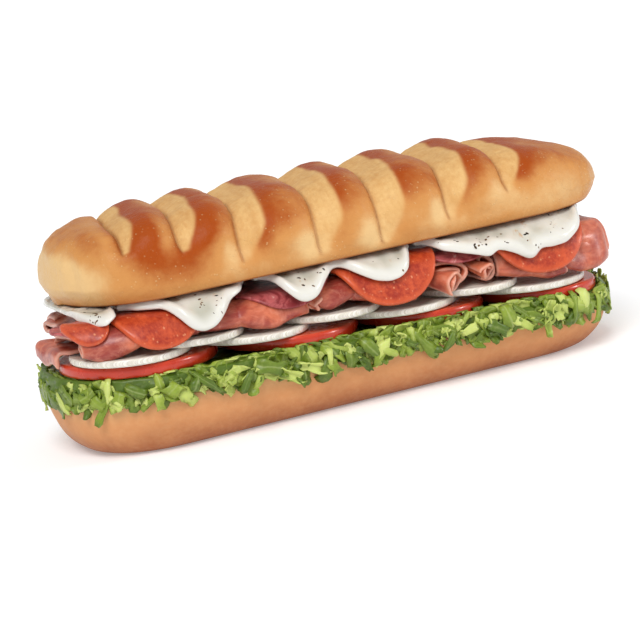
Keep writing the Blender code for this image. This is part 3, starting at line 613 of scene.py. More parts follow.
def buildHamRolls(look, material):
    surface = -2.0 * pile["gap"] - 0.5 * pile["ham"]
    pitch = pile["ham"] + look["rollSpace"]
    for number, x, halfWidth, turns, bend in look["rolls"]:
        low = hamLow(x) + 0.5 * pile["ham"] + pile["gap"]
        high = pile["top"] + surface
        half = halfWidth - 0.5 * pile["ham"]
        tallHalf = 0.5 * (high - low)
        u, v = (borderSteps(look["rollLength"], step, 0.5 * look["thickness"]) / look["rollLength"]
                for step in look["rollSteps"])
        u, v = u[None, :], v[:, None]
        angle = 2.0 * math.pi * turns * u + 0.4
        inset = pitch * turns * (1.0 - u)
        across = np.maximum(half - inset, 0.2 * half) * np.cos(angle)
        tall = -np.maximum(tallHalf - inset, 0.2 * tallHalf) * np.sin(angle)
        z = 0.5 * (high + low) + tall
        end = np.abs(drape(np.full_like(z, x), hangPlanY(z, surface), surface)[..., 1])
        end = end - 0.5 * (1.0 + np.sin(7.0 * u + number))
        side = x + across + bend * np.sin(2.0 * v)
        drop = fillDrop(side - x) * (high - z) / (high - low)
        middle = np.stack((side, end * (2.0 * v - 1.0), z + drop), -1)
        mesh = thickSheet(f"hamRoll{number}", middle, look["thickness"], 0.15, 6.0, number)
        addPiece(f"hamRoll{number}", mesh, material, "ham", f"ham_{number}")


def buildHamEnd(look, material):
    quarter = 0.5 * math.pi * look["endBend"]
    length = look["endFlat"] + quarter + look["endHang"]
    level = hamLow(0.0) - stack["onionThick"] - pile["gap"] + 0.5 * pile["ham"]
    travel = borderSteps(length, 0.7, 0.5 * look["thickness"])[None, :]
    v = borderSteps(34.0, 0.8, 0.5 * look["thickness"])[:, None] / 34.0
    u = travel / length
    angle = np.clip((travel - look["endFlat"]) / look["endBend"], 0.0, 0.5 * math.pi)
    fall = np.maximum(travel - look["endFlat"] - quarter, 0.0)
    laid = np.minimum(travel, look["endFlat"])
    x = look["endEdge"] + look["endFlat"] - laid - look["endBend"] * np.sin(angle)
    z = level + fillDrop(np.maximum(x, look["endEdge"])) - look["endBend"] * (1.0 - np.cos(angle)) - fall
    y = (2.0 * v - 1.0) * look["endHalfWidth"] * (1.0 - 0.3 * u)
    middle = np.stack((x + 0.0 * y, y, z + 0.9 * np.sin(8.0 * v) * smoothStep(2.0 * u - 1.0)), -1)
    mesh = thickSheet("hamCurl9", middle, look["thickness"], 0.2, 6.0, 9)
    addPiece("hamCurl9", mesh, material, "ham", "ham_9")


# Folded ham edges that hang over the onion: side, fold width at both ends, lower edge as (x, height)
hamEdges = {
    "pieces": ((-1, (1.5, 2.9), ((-97.0, 37.6), (-94.0, 35.6), (-90.0, 35.0), (-86.0, 35.6), (-80.0, 37.4),
                                 (-73.0, 39.6))),
               (-1, (1.3, 1.0), ((-79.0, 38.6), (-70.0, 37.5), (-58.0, 37.2))),
               (-1, (1.0, 1.5), ((-60.0, 38.0), (-53.0, 36.7), (-42.0, 36.4))),
               (-1, (2.0, 0.9), ((-46.0, 37.5), (-38.0, 34.4), (-32.0, 33.4), (-26.0, 35.2), (-19.0, 36.0))),
               (-1, (0.9, 1.2), ((-19.0, 39.0), (-12.0, 35.0), (-6.0, 36.5), (0.0, 38.5))),
               (-1, (1.4, 1.8), ((-4.0, 37.0), (6.0, 34.6), (13.0, 32.0), (20.0, 32.2))),
               (-1, (1.8, 0.9), ((51.0, 34.0), (57.0, 31.9), (63.0, 31.2), (70.0, 28.9), (77.0, 29.6))),
               (-1, (1.6, 2.4), ((75.0, 31.5), (82.0, 29.0), (90.0, 28.4), (97.0, 30.0))),
               (1, (1.0, 1.8), ((-92.0, 38.5), (-84.0, 36.0), (-74.0, 37.8))),
               (1, (1.8, 1.0), ((-34.0, 37.5), (-24.0, 34.6), (-10.0, 37.0))),
               (1, (1.2, 2.0), ((2.0, 36.5), (14.0, 33.0), (26.0, 35.0))),
               (1, (1.6, 1.2), ((56.0, 34.5), (68.0, 31.0), (82.0, 33.0)))),
    "thickness": 1.2, "offset": -0.45, "outerOffset": 1.05, "wave": 0.7, "innerY": 20.0, "tuck": 3.5,
}


def hemHeight(x, points):  # smooth line through the given places
    fine = np.linspace(x.min() - 4.0, x.max() + 4.0, 400)
    height = np.interp(fine, [point[0] for point in points], [point[1] for point in points])
    width = max(int(3.0 / (fine[1] - fine[0])), 3)
    padded = np.pad(height, width, mode="edge")
    kernel = np.hanning(2 * width + 1)
    height = np.convolve(padded, kernel / kernel.sum(), mode="valid")
    return np.interp(x, fine, height)


def buildHamEdges(look, material):
    for number, (side, turns, hem) in enumerate(look["pieces"], 1):
        start, end = hem[0][0], hem[-1][0]
        x = borderSteps(end - start, 1.0, 0.5 * look["thickness"]) + start
        u = (x - start) / (end - start)
        turn = turns[0] + (turns[1] - turns[0]) * smoothStep(u)
        offset = look["outerOffset"] if number == 1 else look["offset"]
        hang = hangPlanY(hemHeight(x, hem) + turn + 0.5 * look["thickness"], offset)
        down = np.linspace(0.0, 1.0, 34)[:, None]
        outer = look["innerY"] + (hang[None, :] - look["innerY"]) * down
        theta = np.linspace(0.0, math.pi, 14)[1:][:, None]
        bend = hang[None, :] + turn[None, :] * np.sin(theta)
        tuck = hang[None, :] - look["tuck"] * np.linspace(0.0, 1.0, 8)[1:][:, None]
        planY = np.concatenate((outer, bend, tuck))
        turnedIn = turn[None, :] * (1.0 - np.cos(theta))
        inward = np.concatenate((0.0 * outer, turnedIn, 2.0 * turn[None, :] + 0.0 * tuck))
        below = smoothStep((planY - 34.0) / 7.0)
        swing = np.sin(6.0 * u * (1.0 + 0.4 * np.sin(number)) + 1.7 * number)[None, :]
        wave = look["wave"] * below * (swing - 0.6)
        wave = wave - 0.8 * (1.0 - smoothStep(np.minimum(u, 1.0 - u) * 9.0))[None, :]
        middle = drape(x[None, :] + 0.0 * planY, side * planY, offset - inward + wave)
        even = borderSteps(100.0, 2.2, 1.0) / 100.0
        columns = [evenLine(middle[:, k], even) for k in range(middle.shape[1])]
        mesh = thickSheet(f"hamEdge{number}", np.stack(columns, 1), look["thickness"], 0.15, 6.0, 60 + number)
        addPiece(f"hamEdge{number}", mesh, material, "ham")


# Ham rolled to open cones: narrow end, wide end, both radii, turns and start angle
hamCones = {
    "pieces": (((24.0, -27.0, 38.0), (33.5, -37.2, 34.8), 1.6, 4.8, 1.5, 2.2),
               ((42.0, -27.5, 39.0), (46.5, -36.4, 36.0), 1.4, 3.5, 1.4, 2.6),
               ((-20.0, -29.0, 40.5), (-15.5, -34.6, 37.6), 1.2, 2.6, 1.4, 2.4)),
    "thickness": 1.1, "closing": 0.5,
}


def buildHamCones(look, material):
    for number, (narrow, wide, narrowRadius, wideRadius, turns, first) in enumerate(look["pieces"], 1):
        narrow, wide = np.array(narrow), np.array(wide)
        axis = (wide - narrow) / np.linalg.norm(wide - narrow)
        side = np.cross(axis, (0.0, 0.0, 1.0))
        side /= np.linalg.norm(side)
        over = np.cross(side, axis)
        u = borderSteps(60.0, 0.9, 0.5 * look["thickness"])[None, :] / 60.0
        v = borderSteps(20.0, 0.7, 0.5 * look["thickness"])[:, None] / 20.0
        angle = first - 2.0 * math.pi * turns * u
        flare = narrowRadius + (wideRadius - narrowRadius) * v
        radius = flare * (1.0 - look["closing"] * (1.0 - u)) * (1.0 + 0.06 * np.sin(5.0 * angle))
        slide = 0.7 * np.sin(1.5 * angle + number) * v
        middle = (narrow + (wide - narrow) * v[..., None] + axis * slide[..., None]
                  + side * (radius * np.cos(angle))[..., None]
                  + over * (radius * np.sin(angle) * 0.85)[..., None])
        mesh = thickSheet(f"hamCone{number}", middle, look["thickness"], 0.12, 5.0, 80 + number)
        addPiece(f"hamCone{number}", mesh, material, "ham")


# Salami and pepperoni: round slices draped over the edge of the pile
salamis = {"places": ((-88.0, 39.0, 15.0, -1), (-24.0, 38.6, 18.0, -1), (40.0, 40.6, 18.0, -1),
                      (-52.0, 38.0, 19.0, 1)), "offset": 0.3, "thickness": 1.1, "ripple": 0.25,
           "sides": 100}
pepperonis = {"places": ((-94.0, 40.5, 7.0, -1), (-70.6, 35.5, 15.8, -1), (11.5, 32.6, 19.0, -1),
                         (68.0, 31.8, 20.0, -1), (-34.0, 36.0, 18.0, 1), (26.0, 35.0, 18.0, 1)),
              "offset": 1.9, "thickness": 1.9, "ripple": 0.2, "sides": 100}


def buildDrapedSlices(kind, node, slot, look, material):
    half = 0.5 * look["thickness"]
    middle = look["offset"] + half
    around = np.arange(look["sides"]) * 2.0 * math.pi / look["sides"]
    for number, (x, lowest, radius, side) in enumerate(look["places"], 1):
        hang = float(hangPlanY(lowest, middle))
        inner = np.linspace(0.04, 1.0, 16) * (radius - half)
        arc = np.linspace(0.5 * math.pi, -0.5 * math.pi, 13)[1:-1]
        profileR = np.concatenate((inner, radius - half + half * np.cos(arc), inner[::-1]))[:, None]
        profileH = np.concatenate((0.0 * inner + half, half * np.sin(arc), 0.0 * inner - half))[:, None]
        uneven = 1.0 + 0.012 * np.sin(3.0 * around + number) + 0.006 * np.sin(7.0 * around)
        planX = x + profileR * np.cos(around)[None, :] * uneven
        planY = hang - radius + profileR * np.sin(around)[None, :] * uneven
        edge = smoothStep((profileR / radius - 0.55) / 0.45)
        lift = look["ripple"] * edge * np.sin(5.0 * around + 2.0 * number)[None, :]
        points = drape(planX, side * planY, middle + profileH + lift)
        flat = np.stack((planX, planY, 0.0 * planX + number * 40.0), -1)
        values = {"fromMiddle": profileR / radius + 0.0 * planX, "flatX": flat[..., 0], "flatY": flat[..., 1]}
        centre = (np.array([x]), np.array([side * (hang - radius)]))
        ends = [drape(*centre, middle + way * half)[0] for way in (1.0, -1.0)]
        mesh = tubeMesh(f"{kind}{number}", points, ends[0], ends[1], values)
        addPiece(f"{kind}{number}", mesh, material, slot, f"{node}_{number}")


# Melted cheese: sheets over the pile with thick round drips; both lower edges are given as (x, height)
cheeses = {
    "front": (((-95.7, 48.4), (-92.5, 46.5), (-89.0, 46.0), (-86.0, 47.8), (-83.3, 48.6)),
              ((-81.5, 49.5), (-68.5, 48.0), (-65.5, 44.5), (-62.5, 40.2), (-58.5, 38.6), (-54.0, 39.6),
               (-50.5, 42.4), (-46.5, 46.4), (-37.0, 49.4)),
              ((-33.5, 50.0), (-30.0, 48.6), (-27.0, 44.6), (-24.5, 41.4), (-21.5, 40.4), (-17.5, 41.4),
               (-13.0, 45.6), (-8.5, 48.4), (-5.0, 48.6), (-1.0, 45.4), (4.0, 42.2), (9.0, 41.0),
               (13.5, 41.6), (18.0, 44.4), (22.0, 48.0)),
              ((25.0, 48.8), (33.0, 46.0), (42.0, 43.2), (47.0, 41.4), (50.5, 43.4), (56.0, 41.0),
               (60.0, 38.2), (62.5, 37.8), (66.0, 40.8), (70.0, 40.2), (76.0, 40.6), (82.0, 43.6),
               (87.0, 47.5), (90.0, 49.0))),
    "back": (((-95.7, 48.6), (-88.0, 44.7), (-83.3, 48.6)),
             ((-81.5, 49.0), (-76.0, 44.0), (-70.0, 41.5), (-63.0, 46.5), (-56.0, 47.5), (-48.0, 43.5),
              (-37.0, 49.0)),
             ((-33.5, 49.0), (-26.0, 46.5), (-20.0, 43.6), (-12.0, 47.5), (0.0, 46.0), (9.0, 39.8),
              (16.0, 45.0), (22.0, 48.8)),
             ((25.0, 49.0), (34.0, 46.0), (40.0, 42.6), (48.0, 47.0), (58.0, 45.0), (66.0, 40.4),
              (74.0, 46.0), (83.0, 44.0), (90.0, 49.0))),
    "bead": 0.75, "beadWidth": 1.5, "valley": 0.35, "sag": 0.5,
}


def buildCheese(look, material):
    half = 0.5 * pile["cheese"]
    offset = pile["gap"] + pile["salami"] + pile["sheetGap"] + pile["pepperoni"] + pile["cheeseGap"] + half
    pieces = []
    for number, (front, back) in enumerate(zip(look["front"], look["back"]), 1):
        start, end = front[0][0], front[-1][0]
        x = borderSteps(end - start, 0.8, half) + start
        u = (x - start) / (end - start)
        corner = 3.0 * (1.0 - smoothStep(np.minimum(u, 1.0 - u) * 9.0))
        under = planHalfWidth(x - bunTop["centreX"], bunTop["halfLength"], bunTop["halfWidth"])
        under = under / pileNarrowing(x)
        squeeze = np.minimum(1.0, (under - 1.5) / pile["halfWidth"])  # the ends stay under the narrower bun
        reach = [hangPlanY(hemHeight(x, hem), offset) - corner for hem in (front, back)]
        rows = borderSteps(80.0, 0.8, half)[:, None] / 80.0
        y = -reach[0][None, :] + (reach[0] + reach[1])[None, :] * rows
        slope = [np.sqrt(1.0 + np.gradient(side, x) ** 2)[None, :] for side in reach]
        fromEdge = np.minimum((y + reach[0][None, :]) / slope[0], (reach[1][None, :] - y) / slope[1])
        fromSide = np.minimum(x - start, end - x)[None, :]
        edge = np.minimum(fromEdge, fromSide)
        thick = roundedHalf(edge, half)
        soft = lumps(np.stack((x + 0.0 * y, y, 0.0 * y), -1), 7.0, 30 + number)
        lip = smoothStep(edge / half)
        bead = look["bead"] * np.exp(-((fromEdge - 1.5) / look["beadWidth"]) ** 2)
        bead = bead * smoothStep((x + 92.0) / 16.0)[None, :]
        bead = bead - look["valley"] * np.exp(-((fromEdge - 5.0) / 2.4) ** 2)
        upper = drape(x + 0.0 * y, y, offset + thick + (bead + look["sag"] * soft) * lip)
        lower = drape(x + 0.0 * y, y, offset - thick)
        for skin in (upper, lower):
            skin[..., 1] *= squeeze[None, :]
        mesh = sheetMesh(f"cheeseSheet{number}", upper, lower, {"fromEdge": fromEdge, "hollow": soft})
        pieces.append(addPiece(f"cheeseSheet{number}", mesh, material, "cheese", f"cheese_{number}"))
    return pieces


# Shredded lettuce: a packed core, and rows of cut leaf strips by Geometry Nodes
lettuce = {
    "coreProud": 0.2, "hollows": 2.0, "sides": 300, "thickness": 0.45, "cellsAlong": 8, "cellsAcross": 4,
    "pathSteps": 320,
    "rows": ({"inset": 0.6, "height": -0.8, "count": 460, "seed": 5, "length": (5.0, 16.0),
              "width": (2.2, 5.6), "coil": (0.6, 4.2), "curl": (0.5, 3.2), "ripple": 0.8, "slant": 2.7,
              "rise": 5.4, "out": 1.9, "ceiling": 5.6},
             {"inset": 3.6, "height": 3.0, "count": 190, "seed": 9, "length": (6.0, 13.0),
              "width": (3.0, 6.5), "coil": (0.4, 2.4), "curl": (0.3, 2.0), "ripple": 0.6, "slant": 3.0,
              "rise": 1.6, "out": 2.4, "ceiling": 1.7},
             {"inset": 9.0, "height": 3.0, "count": 210, "seed": 13, "share": 0.5, "length": (6.0, 12.0),
              "width": (3.0, 6.5), "coil": (0.4, 1.8), "curl": (0.3, 1.6), "ripple": 0.5, "slant": 3.1,
              "rise": 1.2, "out": 3.5, "ceiling": 1.5},
             {"inset": 16.0, "height": 3.0, "count": 190, "seed": 17, "share": 0.5, "length": (6.0, 12.0),
              "width": (3.0, 6.5), "coil": (0.4, 1.8), "curl": (0.3, 1.6), "ripple": 0.5, "slant": 3.1,
              "rise": 1.2, "out": 4.0, "ceiling": 1.4}),
}


def leafTop(x):
    return stack["tomatoBottom"] + fillDrop(x) - pile["gap"]


def buildLettuceCore(look, material):
    turn = np.arange(look["sides"]) / look["sides"]
    rings = []
    for level in np.linspace(0.0, 1.0, 9):
        bulge = look["coreProud"] + 1.3 * math.sin(math.pi * level)
        x, y = planPoint(turn, plan["baseHalfLength"] + bulge, plan["baseHalfWidth"] + bulge)
        low = baseCutZ(x) + pile["gap"]
        z = low + (leafTop(x) - low) * level
        grow = 1.0 + 0.022 * (lumps(np.stack((x, y, z), -1), 3.2, 41) - 0.3) * math.sin(math.pi * level)
        rings.append(np.stack((x * grow, y * grow, z), -1))
    low = rings[0] * (0.6, 0.6, 0.0)
    low[:, 2] = baseCutZ(low[:, 0]) + pile["gap"]
    top = []
    # the top shows at the back, so it is hollowed between the leaves
    for share in np.linspace(0.97, 0.08, 24):
        ring = rings[-1] * (share, share, 0.0)
        hollow = np.clip(0.5 + 0.5 * lumps(ring, 4.2, 43), 0.0, 1.0)
        ring[:, 2] = leafTop(ring[:, 0]) - look["hollows"] * hollow
        top.append(ring)
    mesh = tubeMesh("lettuceCore", np.array([low, *rings, *top]), (0.0, 0.0, baseCutZ(0.0) + pile["gap"]),
                    (0.0, 0.0, leafTop(0.0)))
    return addPiece("lettuceCore", mesh, material, "leaf")


def newNodeGroup(name, numbers):
    group = bpy.data.node_groups.new(name, "GeometryNodeTree")
    group.interface.new_socket("Geometry", in_out="INPUT", socket_type="NodeSocketGeometry")
    group.interface.new_socket("Geometry", in_out="OUTPUT", socket_type="NodeSocketGeometry")
    group.interface.new_socket("Material", in_out="INPUT", socket_type="NodeSocketMaterial")
    for label, kind in numbers.items():
        group.interface.new_socket(label, in_out="INPUT", socket_type=f"NodeSocket{kind}")
    return group


def leafTree():
    group = newNodeGroup("leafPieces", {
        "Count": "Int", "Seed": "Int", "Cells along": "Int", "Cells across": "Int", "Length low": "Float",
        "Length high": "Float", "Width low": "Float", "Width high": "Float", "Coil low": "Float",
        "Coil high": "Float", "Curl low": "Float", "Curl high": "Float", "Ripple": "Float", "Slant": "Float",
        "Rise": "Float", "Out": "Float", "Ceiling": "Float"})
    g = Graph(group)
    ask = g.node("NodeGroupInput").output

    def store(geometry, name, value):
        return g.node("GeometryNodeStoreNamedAttribute", {"data_type": "FLOAT_VECTOR", "domain": "POINT"},
                      {"Geometry": geometry, "Name": name, "Value": value})

    def read(name):
        return g.node("GeometryNodeInputNamedAttribute", {"data_type": "FLOAT_VECTOR"}, {"Name": name})

    def dice(shift):
        return g.node("FunctionNodeRandomValue", {"data_type": "FLOAT_VECTOR"},
                      {0: (0.0, 0.0, 0.0), 1: (1.0, 1.0, 1.0), "Seed": ask("Seed") + shift})

    def pick(name, share):
        return ask(name + " low") + (ask(name + " high") - ask(name + " low")) * share

    path = g.node("GeometryNodeMeshToCurve", None, {"Mesh": ask("Geometry")})
    points = g.node("GeometryNodeCurveToPoints", {"mode": "COUNT"}, {"Curve": path, "Count": ask("Count")})
    position = g.node("GeometryNodeInputPosition")
    marked = store(points, "leafAlong", points.output("Tangent"))
    marked = store(marked, "leafBase", position)
    for name, shift in (("diceA", 0.0), ("diceB", 11.0), ("diceC", 23.0), ("diceD", 37.0)):
        marked = store(marked, name, dice(shift))
    grid = g.node("GeometryNodeMeshGrid", None, {
        "Size X": 2.0, "Size Y": 2.0, "Vertices X": ask("Cells along"), "Vertices Y": ask("Cells across")})
    grid = store(grid, "leafPlace", position)
    many = g.node("GeometryNodeInstanceOnPoints", None, {"Points": marked, "Instance": grid})
    real = g.node("GeometryNodeRealizeInstances", None, {"Geometry": many})

    along, across = g.parts(read("leafPlace"))[:2]
    lengthDice, widthDice, slantDice = g.parts(read("diceA"))
    curlDice, coilDice, phaseDice = g.parts(read("diceB"))
    riseDice, outDice, twistDice = g.parts(read("diceC"))
    flipDice, foldDice = g.parts(read("diceD"))[:2]
    length, width = pick("Length", lengthDice ** 1.5), pick("Width", widthDice)
    coil, curl = pick("Coil", coilDice ** 1.6), pick("Curl", curlDice)
    phase = phaseDice * 6.28
    slant = (slantDice - 0.5) * ask("Slant")
    flip = g.maths("GREATER_THAN", flipDice, 0.45)
    ragged = 1.0 - 0.4 * along ** 8.0 + 0.18 * (along * 5.0 + phase).sine()
    ragged = ragged + 0.1 * (along * 13.0 + phase * 3.0).sine() * across

    # the strip bends round along its length and is curled across its width
    bend = along * coil * 0.5
    radius = length / coil
    bulge = radius * (1.0 - bend.cosine())
    fullBulge = radius * (1.0 - (coil * 0.5).cosine())
    turned = across * curl * 0.5 + (twistDice - 0.5) * along * 1.6
    sideways = width / curl * turned.sine() * ragged
    away = flip * (fullBulge - bulge) + (1.0 - flip) * bulge
    away = away + width / curl * (1.0 - turned.cosine()) * g.maths("SIGN", foldDice - 0.5)
    away = away + ask("Ripple") * across * across * (along * 6.0 + phase).sine()
    away = away + ask("Out") * outDice + 0.8
    reach = radius * bend.sine()
    up = reach * slant.cosine() + sideways * slant.sine() + (riseDice - 0.66) * ask("Rise")
    run = sideways * slant.cosine() - reach * slant.sine()
    up = g.maths("SMOOTH_MIN", up, ask("Ceiling"), 1.2)
    tangent = read("leafAlong")
    endShare = g.maths("ABSOLUTE", g.parts(tangent)[1])
    away = g.maths("SMOOTH_MIN", away * (1.0 - 0.35 * endShare), 5.2 - 2.85 * endShare, 1.5)
    outward = g.vectors("CROSS_PRODUCT", tangent, (0.0, 0.0, 1.0))
    spot = g.vectors("ADD", g.scaled(tangent, run), g.scaled(outward, g.maths("MAXIMUM", away, 0.25)))
    spot = g.vectors("ADD", spot, g.joined(0.0, 0.0, up))
    spot = g.vectors("ADD", read("leafBase"), g.scaled(spot, mm))
    shaped = g.node("GeometryNodeSetPosition", None, {"Geometry": real, "Position": spot})
    smooth = g.node("GeometryNodeSetShadeSmooth", None, {"Geometry": shaped})
    painted = g.node("GeometryNodeSetMaterial", None, {"Geometry": smooth, "Material": ask("Material")})
    out = group.nodes.new("NodeGroupOutput")
    group.links.new(painted.socket, out.inputs[0])
    return group


def runTree(host, group, values, more=None):
    # sets each input by its identifier, then turns the result into a plain mesh
    modifier = host.modifiers.new("Nodes", "NODES")
    modifier.node_group = group
    for item in group.interface.items_tree:
        if item.in_out == "INPUT" and item.name in values:
            modifier[item.identifier] = values[item.name]
    if more:
        more(host)
    seen = host.evaluated_get(bpy.context.evaluated_depsgraph_get())
    mesh = bpy.data.meshes.new_from_object(seen)
    bpy.data.objects.remove(host)
    return mesh


def addHost(name, mesh):
    host = bpy.data.objects.new(name, mesh)
    bpy.context.scene.collection.objects.link(host)
    return host


def buildLettuceLeaves(look, material):
    tree = leafTree()

    def thicken(host):
        wall = host.modifiers.new("Wall", "SOLIDIFY")
        wall.thickness = look["thickness"] * mm
        wall.offset = 0.0

    rows = []
    for row in look["rows"]:
        share = row.get("share", 1.0)  # half a row runs along the back only
        steps = look["pathSteps"]
        turn = np.arange(steps) / steps * share
        x, y = planPoint(turn, plan["baseHalfLength"] - row["inset"], plan["baseHalfWidth"] - row["inset"])
        z = 0.5 * (baseCutZ(x) + leafTop(x)) + row["height"]
        mesh = bpy.data.meshes.new("rimPath")
        edges = [(k, (k + 1) % steps) for k in range(steps if share == 1.0 else steps - 1)]
        mesh.from_pydata((np.stack((x, y, z), -1) * mm).tolist(), edges, [])
        values = {"Material": material,
                  "Cells along": look["cellsAlong"], "Cells across": look["cellsAcross"]}
        for label in ("Count", "Seed", "Ripple", "Slant", "Rise", "Out", "Ceiling"):
            values[label] = row[label.lower()]
        for label in ("Length", "Width", "Coil", "Curl"):
            values[label + " low"], values[label + " high"] = row[label.lower()]
        leaves = runTree(addHost("rimPath", mesh), tree, values, thicken)
        rows.append(addHost("leafRow", leaves))
    with bpy.context.temp_override(active_object=rows[0], selected_editable_objects=rows):
        bpy.ops.object.join()
    leaves = rows[0].data
    bpy.data.objects.remove(rows[0])
    leaves.shade_smooth()
    addPiece("lettuceLeaves", leaves, material, "leaf", "lettuce")


# Pepper and herb flecks that lie on the cheese
flecks = {"density": 190000.0, "seed": 3, "sizeLow": 0.45, "sizeHigh": 1.6, "everywhere": 0.05,
          "places": ((-91.5, 48.6), (-56.3, 46.4), (-51.8, 46.0), (-20.5, 47.4), (-14.1, 46.5), (5.0, 46.4),
                     (13.4, 45.2), (36.0, 47.6), (43.0, 47.6), (47.5, 45.6), (53.0, 45.6), (62.9, 44.6),
                     (65.0, 41.6), (70.5, 43.6), (74.0, 47.4))}


def fleckTree(look):
    group = newNodeGroup("cheeseFlecks", {
        "Density": "Float", "Seed": "Int", "Size low": "Float", "Size high": "Float"})
    g = Graph(group)
    ask = g.node("NodeGroupInput").output
    normal = g.node("GeometryNodeInputNormal")
    outward = g.parts(normal)[2]
    position = g.node("GeometryNodeInputPosition")
    clumps = g.grain(position, 90.0, 2.0).between(0.46, 0.62)
    density = clumps * outward.between(-0.2, 0.4) * look["everywhere"]
    flat = g.vectors("MULTIPLY", position, (1000.0, 0.0, 1000.0))
    front = g.maths("LESS_THAN", g.parts(position)[1], 0.0) * outward.between(-0.3, 0.0)
    for x, z in look["places"]:
        near = g.vectors("DISTANCE", flat, (x, 0.0, z), output=1)
        density = g.maths("MAXIMUM", density, (1.0 - near.between(1.2, 3.2)) * front)
    density = density * ask("Density")
    spread = g.node("GeometryNodeDistributePointsOnFaces", {"distribute_method": "RANDOM"},
                    {"Mesh": ask("Geometry"), "Density": density, "Seed": ask("Seed")})
    fleck = g.node("GeometryNodeMeshIcoSphere", None, {"Radius": 1.0, "Subdivisions": 1})
    length = g.node("FunctionNodeRandomValue", {"data_type": "FLOAT"},
                    {2: ask("Size low"), 3: ask("Size high"), "Seed": 5}, 1)
    wide = g.node("FunctionNodeRandomValue", {"data_type": "FLOAT"}, {2: 0.3, 3: 0.75, "Seed": 6}, 1)
    turn = g.node("FunctionNodeRandomValue", {"data_type": "FLOAT"}, {2: 0.0, 3: 6.28, "Seed": 7}, 1)
    spin = g.node("FunctionNodeRotateRotation", {"rotation_space": "LOCAL"}, {
        "Rotation": spread.output("Rotation"),
        "Rotate By": g.node("FunctionNodeAxisAngleToRotation", None,
                            {"Axis": (0.0, 0.0, 1.0), "Angle": turn})})
    size = g.scaled(g.joined(length, length * wide, length * 0.22), 0.5 * mm)
    many = g.node("GeometryNodeInstanceOnPoints", None, {
        "Points": spread, "Instance": fleck, "Rotation": spin, "Scale": size})
    real = g.node("GeometryNodeRealizeInstances", None, {"Geometry": many})
    painted = g.node("GeometryNodeSetMaterial", None, {"Geometry": real, "Material": ask("Material")})
    out = group.nodes.new("NodeGroupOutput")
    group.links.new(painted.socket, out.inputs[0])
    return group


def buildFlecks(look, sheets, material):
    points, faces = [], []
    for sheet in sheets:
        start = len(points)
        points += [vertex.co.copy() for vertex in sheet.data.vertices]
        faces += [[start + corner for corner in polygon.vertices] for polygon in sheet.data.polygons]
    mesh = bpy.data.meshes.new("fleckHost")
    mesh.from_pydata(points, [], faces)
    made = runTree(addHost("fleckHost", mesh), fleckTree(look), {
        "Material": material, "Density": look["density"], "Seed": look["seed"], "Size low": look["sizeLow"],
        "Size high": look["sizeHigh"]})
    return addPiece("cheeseFlecks", made, material, "")


# Materials
def goldenCrust():
    material, g, shader = newMaterial("goldenCrust", {
        "Coat Weight": 0.03, "Coat Roughness": 0.2, "Specular IOR Level": 0.12})
    place = g.place()
    bakeAndPaintedLight, slash, crease, crumb = (g.value(name) for name in ("bakeAndPaintedLight", "slash", "crease", "crumb"))
    cloud = g.grain(place, 55.0, 4.0, 0.55)
    patch = g.grain(place, 130.0, 3.0, 0.6, 0.8)
    fine = g.grain(place, 480.0, 5.0, 0.65)
    speck = g.cells(place, 600.0)
    streak = g.grain(g.vectors("MULTIPLY", place, (1.0, 0.25, 0.3)), 420.0, 3.0, 0.6)
    # the browning number also carries painted shade and painted highlights laid on the crust
    amount = bakeAndPaintedLight + (cloud - 0.5) * 0.55 + (patch - 0.5) * 0.30 + (fine - 0.5) * 0.18
    colour = g.mix(amount.between(-0.15, 0.45), tone(224, 184, 128), tone(202, 140, 80))
    colour = g.mix(amount.between(0.42, 1.02), colour, tone(160, 72, 22))
    uneven = (fine * 0.5 + streak * 0.4 + cloud * 0.3).between(0.35, 0.85)
    pale = g.mix(uneven, tone(229, 189, 127), tone(206, 156, 96))
    colour = g.mix((slash * 1.15 + (fine - 0.5) * slash).between(0.05, 0.95) * 0.92, colour, pale)
    blister = (1.0 - speck.between(0.10, 0.24)) * g.grain(place, 120.0).between(0.44, 0.6)
    colour = g.mix(blister * 0.35, colour, tone(236, 200, 144))
    # painted shade: a dark line along each cut
    colour = g.mix(crease * 0.6, colour, tone(130, 66, 30))
    colour = g.mix(crumb.between(0.1, 0.6) * (0.5 + 0.5 * fine), colour, tone(148, 80, 44))
    pores = g.mix(g.cells(place, 700.0), tone(180, 116, 62), tone(226, 192, 140))
    colour = g.mix(crumb.between(0.8, 1.0), colour, pores)
    rough = 0.36 + 0.25 * fine + 0.25 * slash - 0.2 * cloud + 0.3 * crumb
    height = fine * 0.7 + g.grain(place, 1500.0, 3.0) * 0.3 + blister * 0.3
    height = height + streak * slash * 0.8 + patch * 0.6
    feed(g, shader, colour=colour, roughness=rough, normal=g.bump(height, 0.6, 0.0008))
    return material


def paleCrust():
    material, g, shader = newMaterial("paleCrust", {"Coat Weight": 0.05, "IOR": 1.42})
    place = g.place()
    height = g.parts(place)[2]
    crumb = g.value("crumb")
    cloud = g.grain(place, 42.0, 4.0, 0.55)
    patch = g.grain(place, 150.0, 3.0, 0.6)
    fine = g.grain(place, 500.0, 4.0, 0.6)
    level = (height * 1000.0 + (cloud - 0.5) * 9.0 + (patch - 0.5) * 4.0).between(-2.0, 13.0)
    colour = g.mix(level, tone(152, 84, 46), tone(212, 146, 94))
    upper = (height * 1000.0 + (cloud - 0.5) * 8.0).between(12.0, 19.0)
    colour = g.mix(upper * 0.6, colour, tone(226, 178, 124))
    colour = g.mix((fine - 0.4) * 0.35, colour, tone(232, 192, 144))
    colour = g.mix(crumb, colour, g.mix(g.cells(place, 600.0), tone(196, 150, 100), tone(234, 214, 176)))
    bumps = fine * 0.5 + g.grain(place, 1600.0, 2.0) * 0.25 + crumb * g.cells(place, 500.0) * 2.0 + patch
    feed(g, shader, colour=colour, roughness=0.55 + 0.2 * fine, normal=g.bump(bumps, 0.35, 0.0004))
    return material


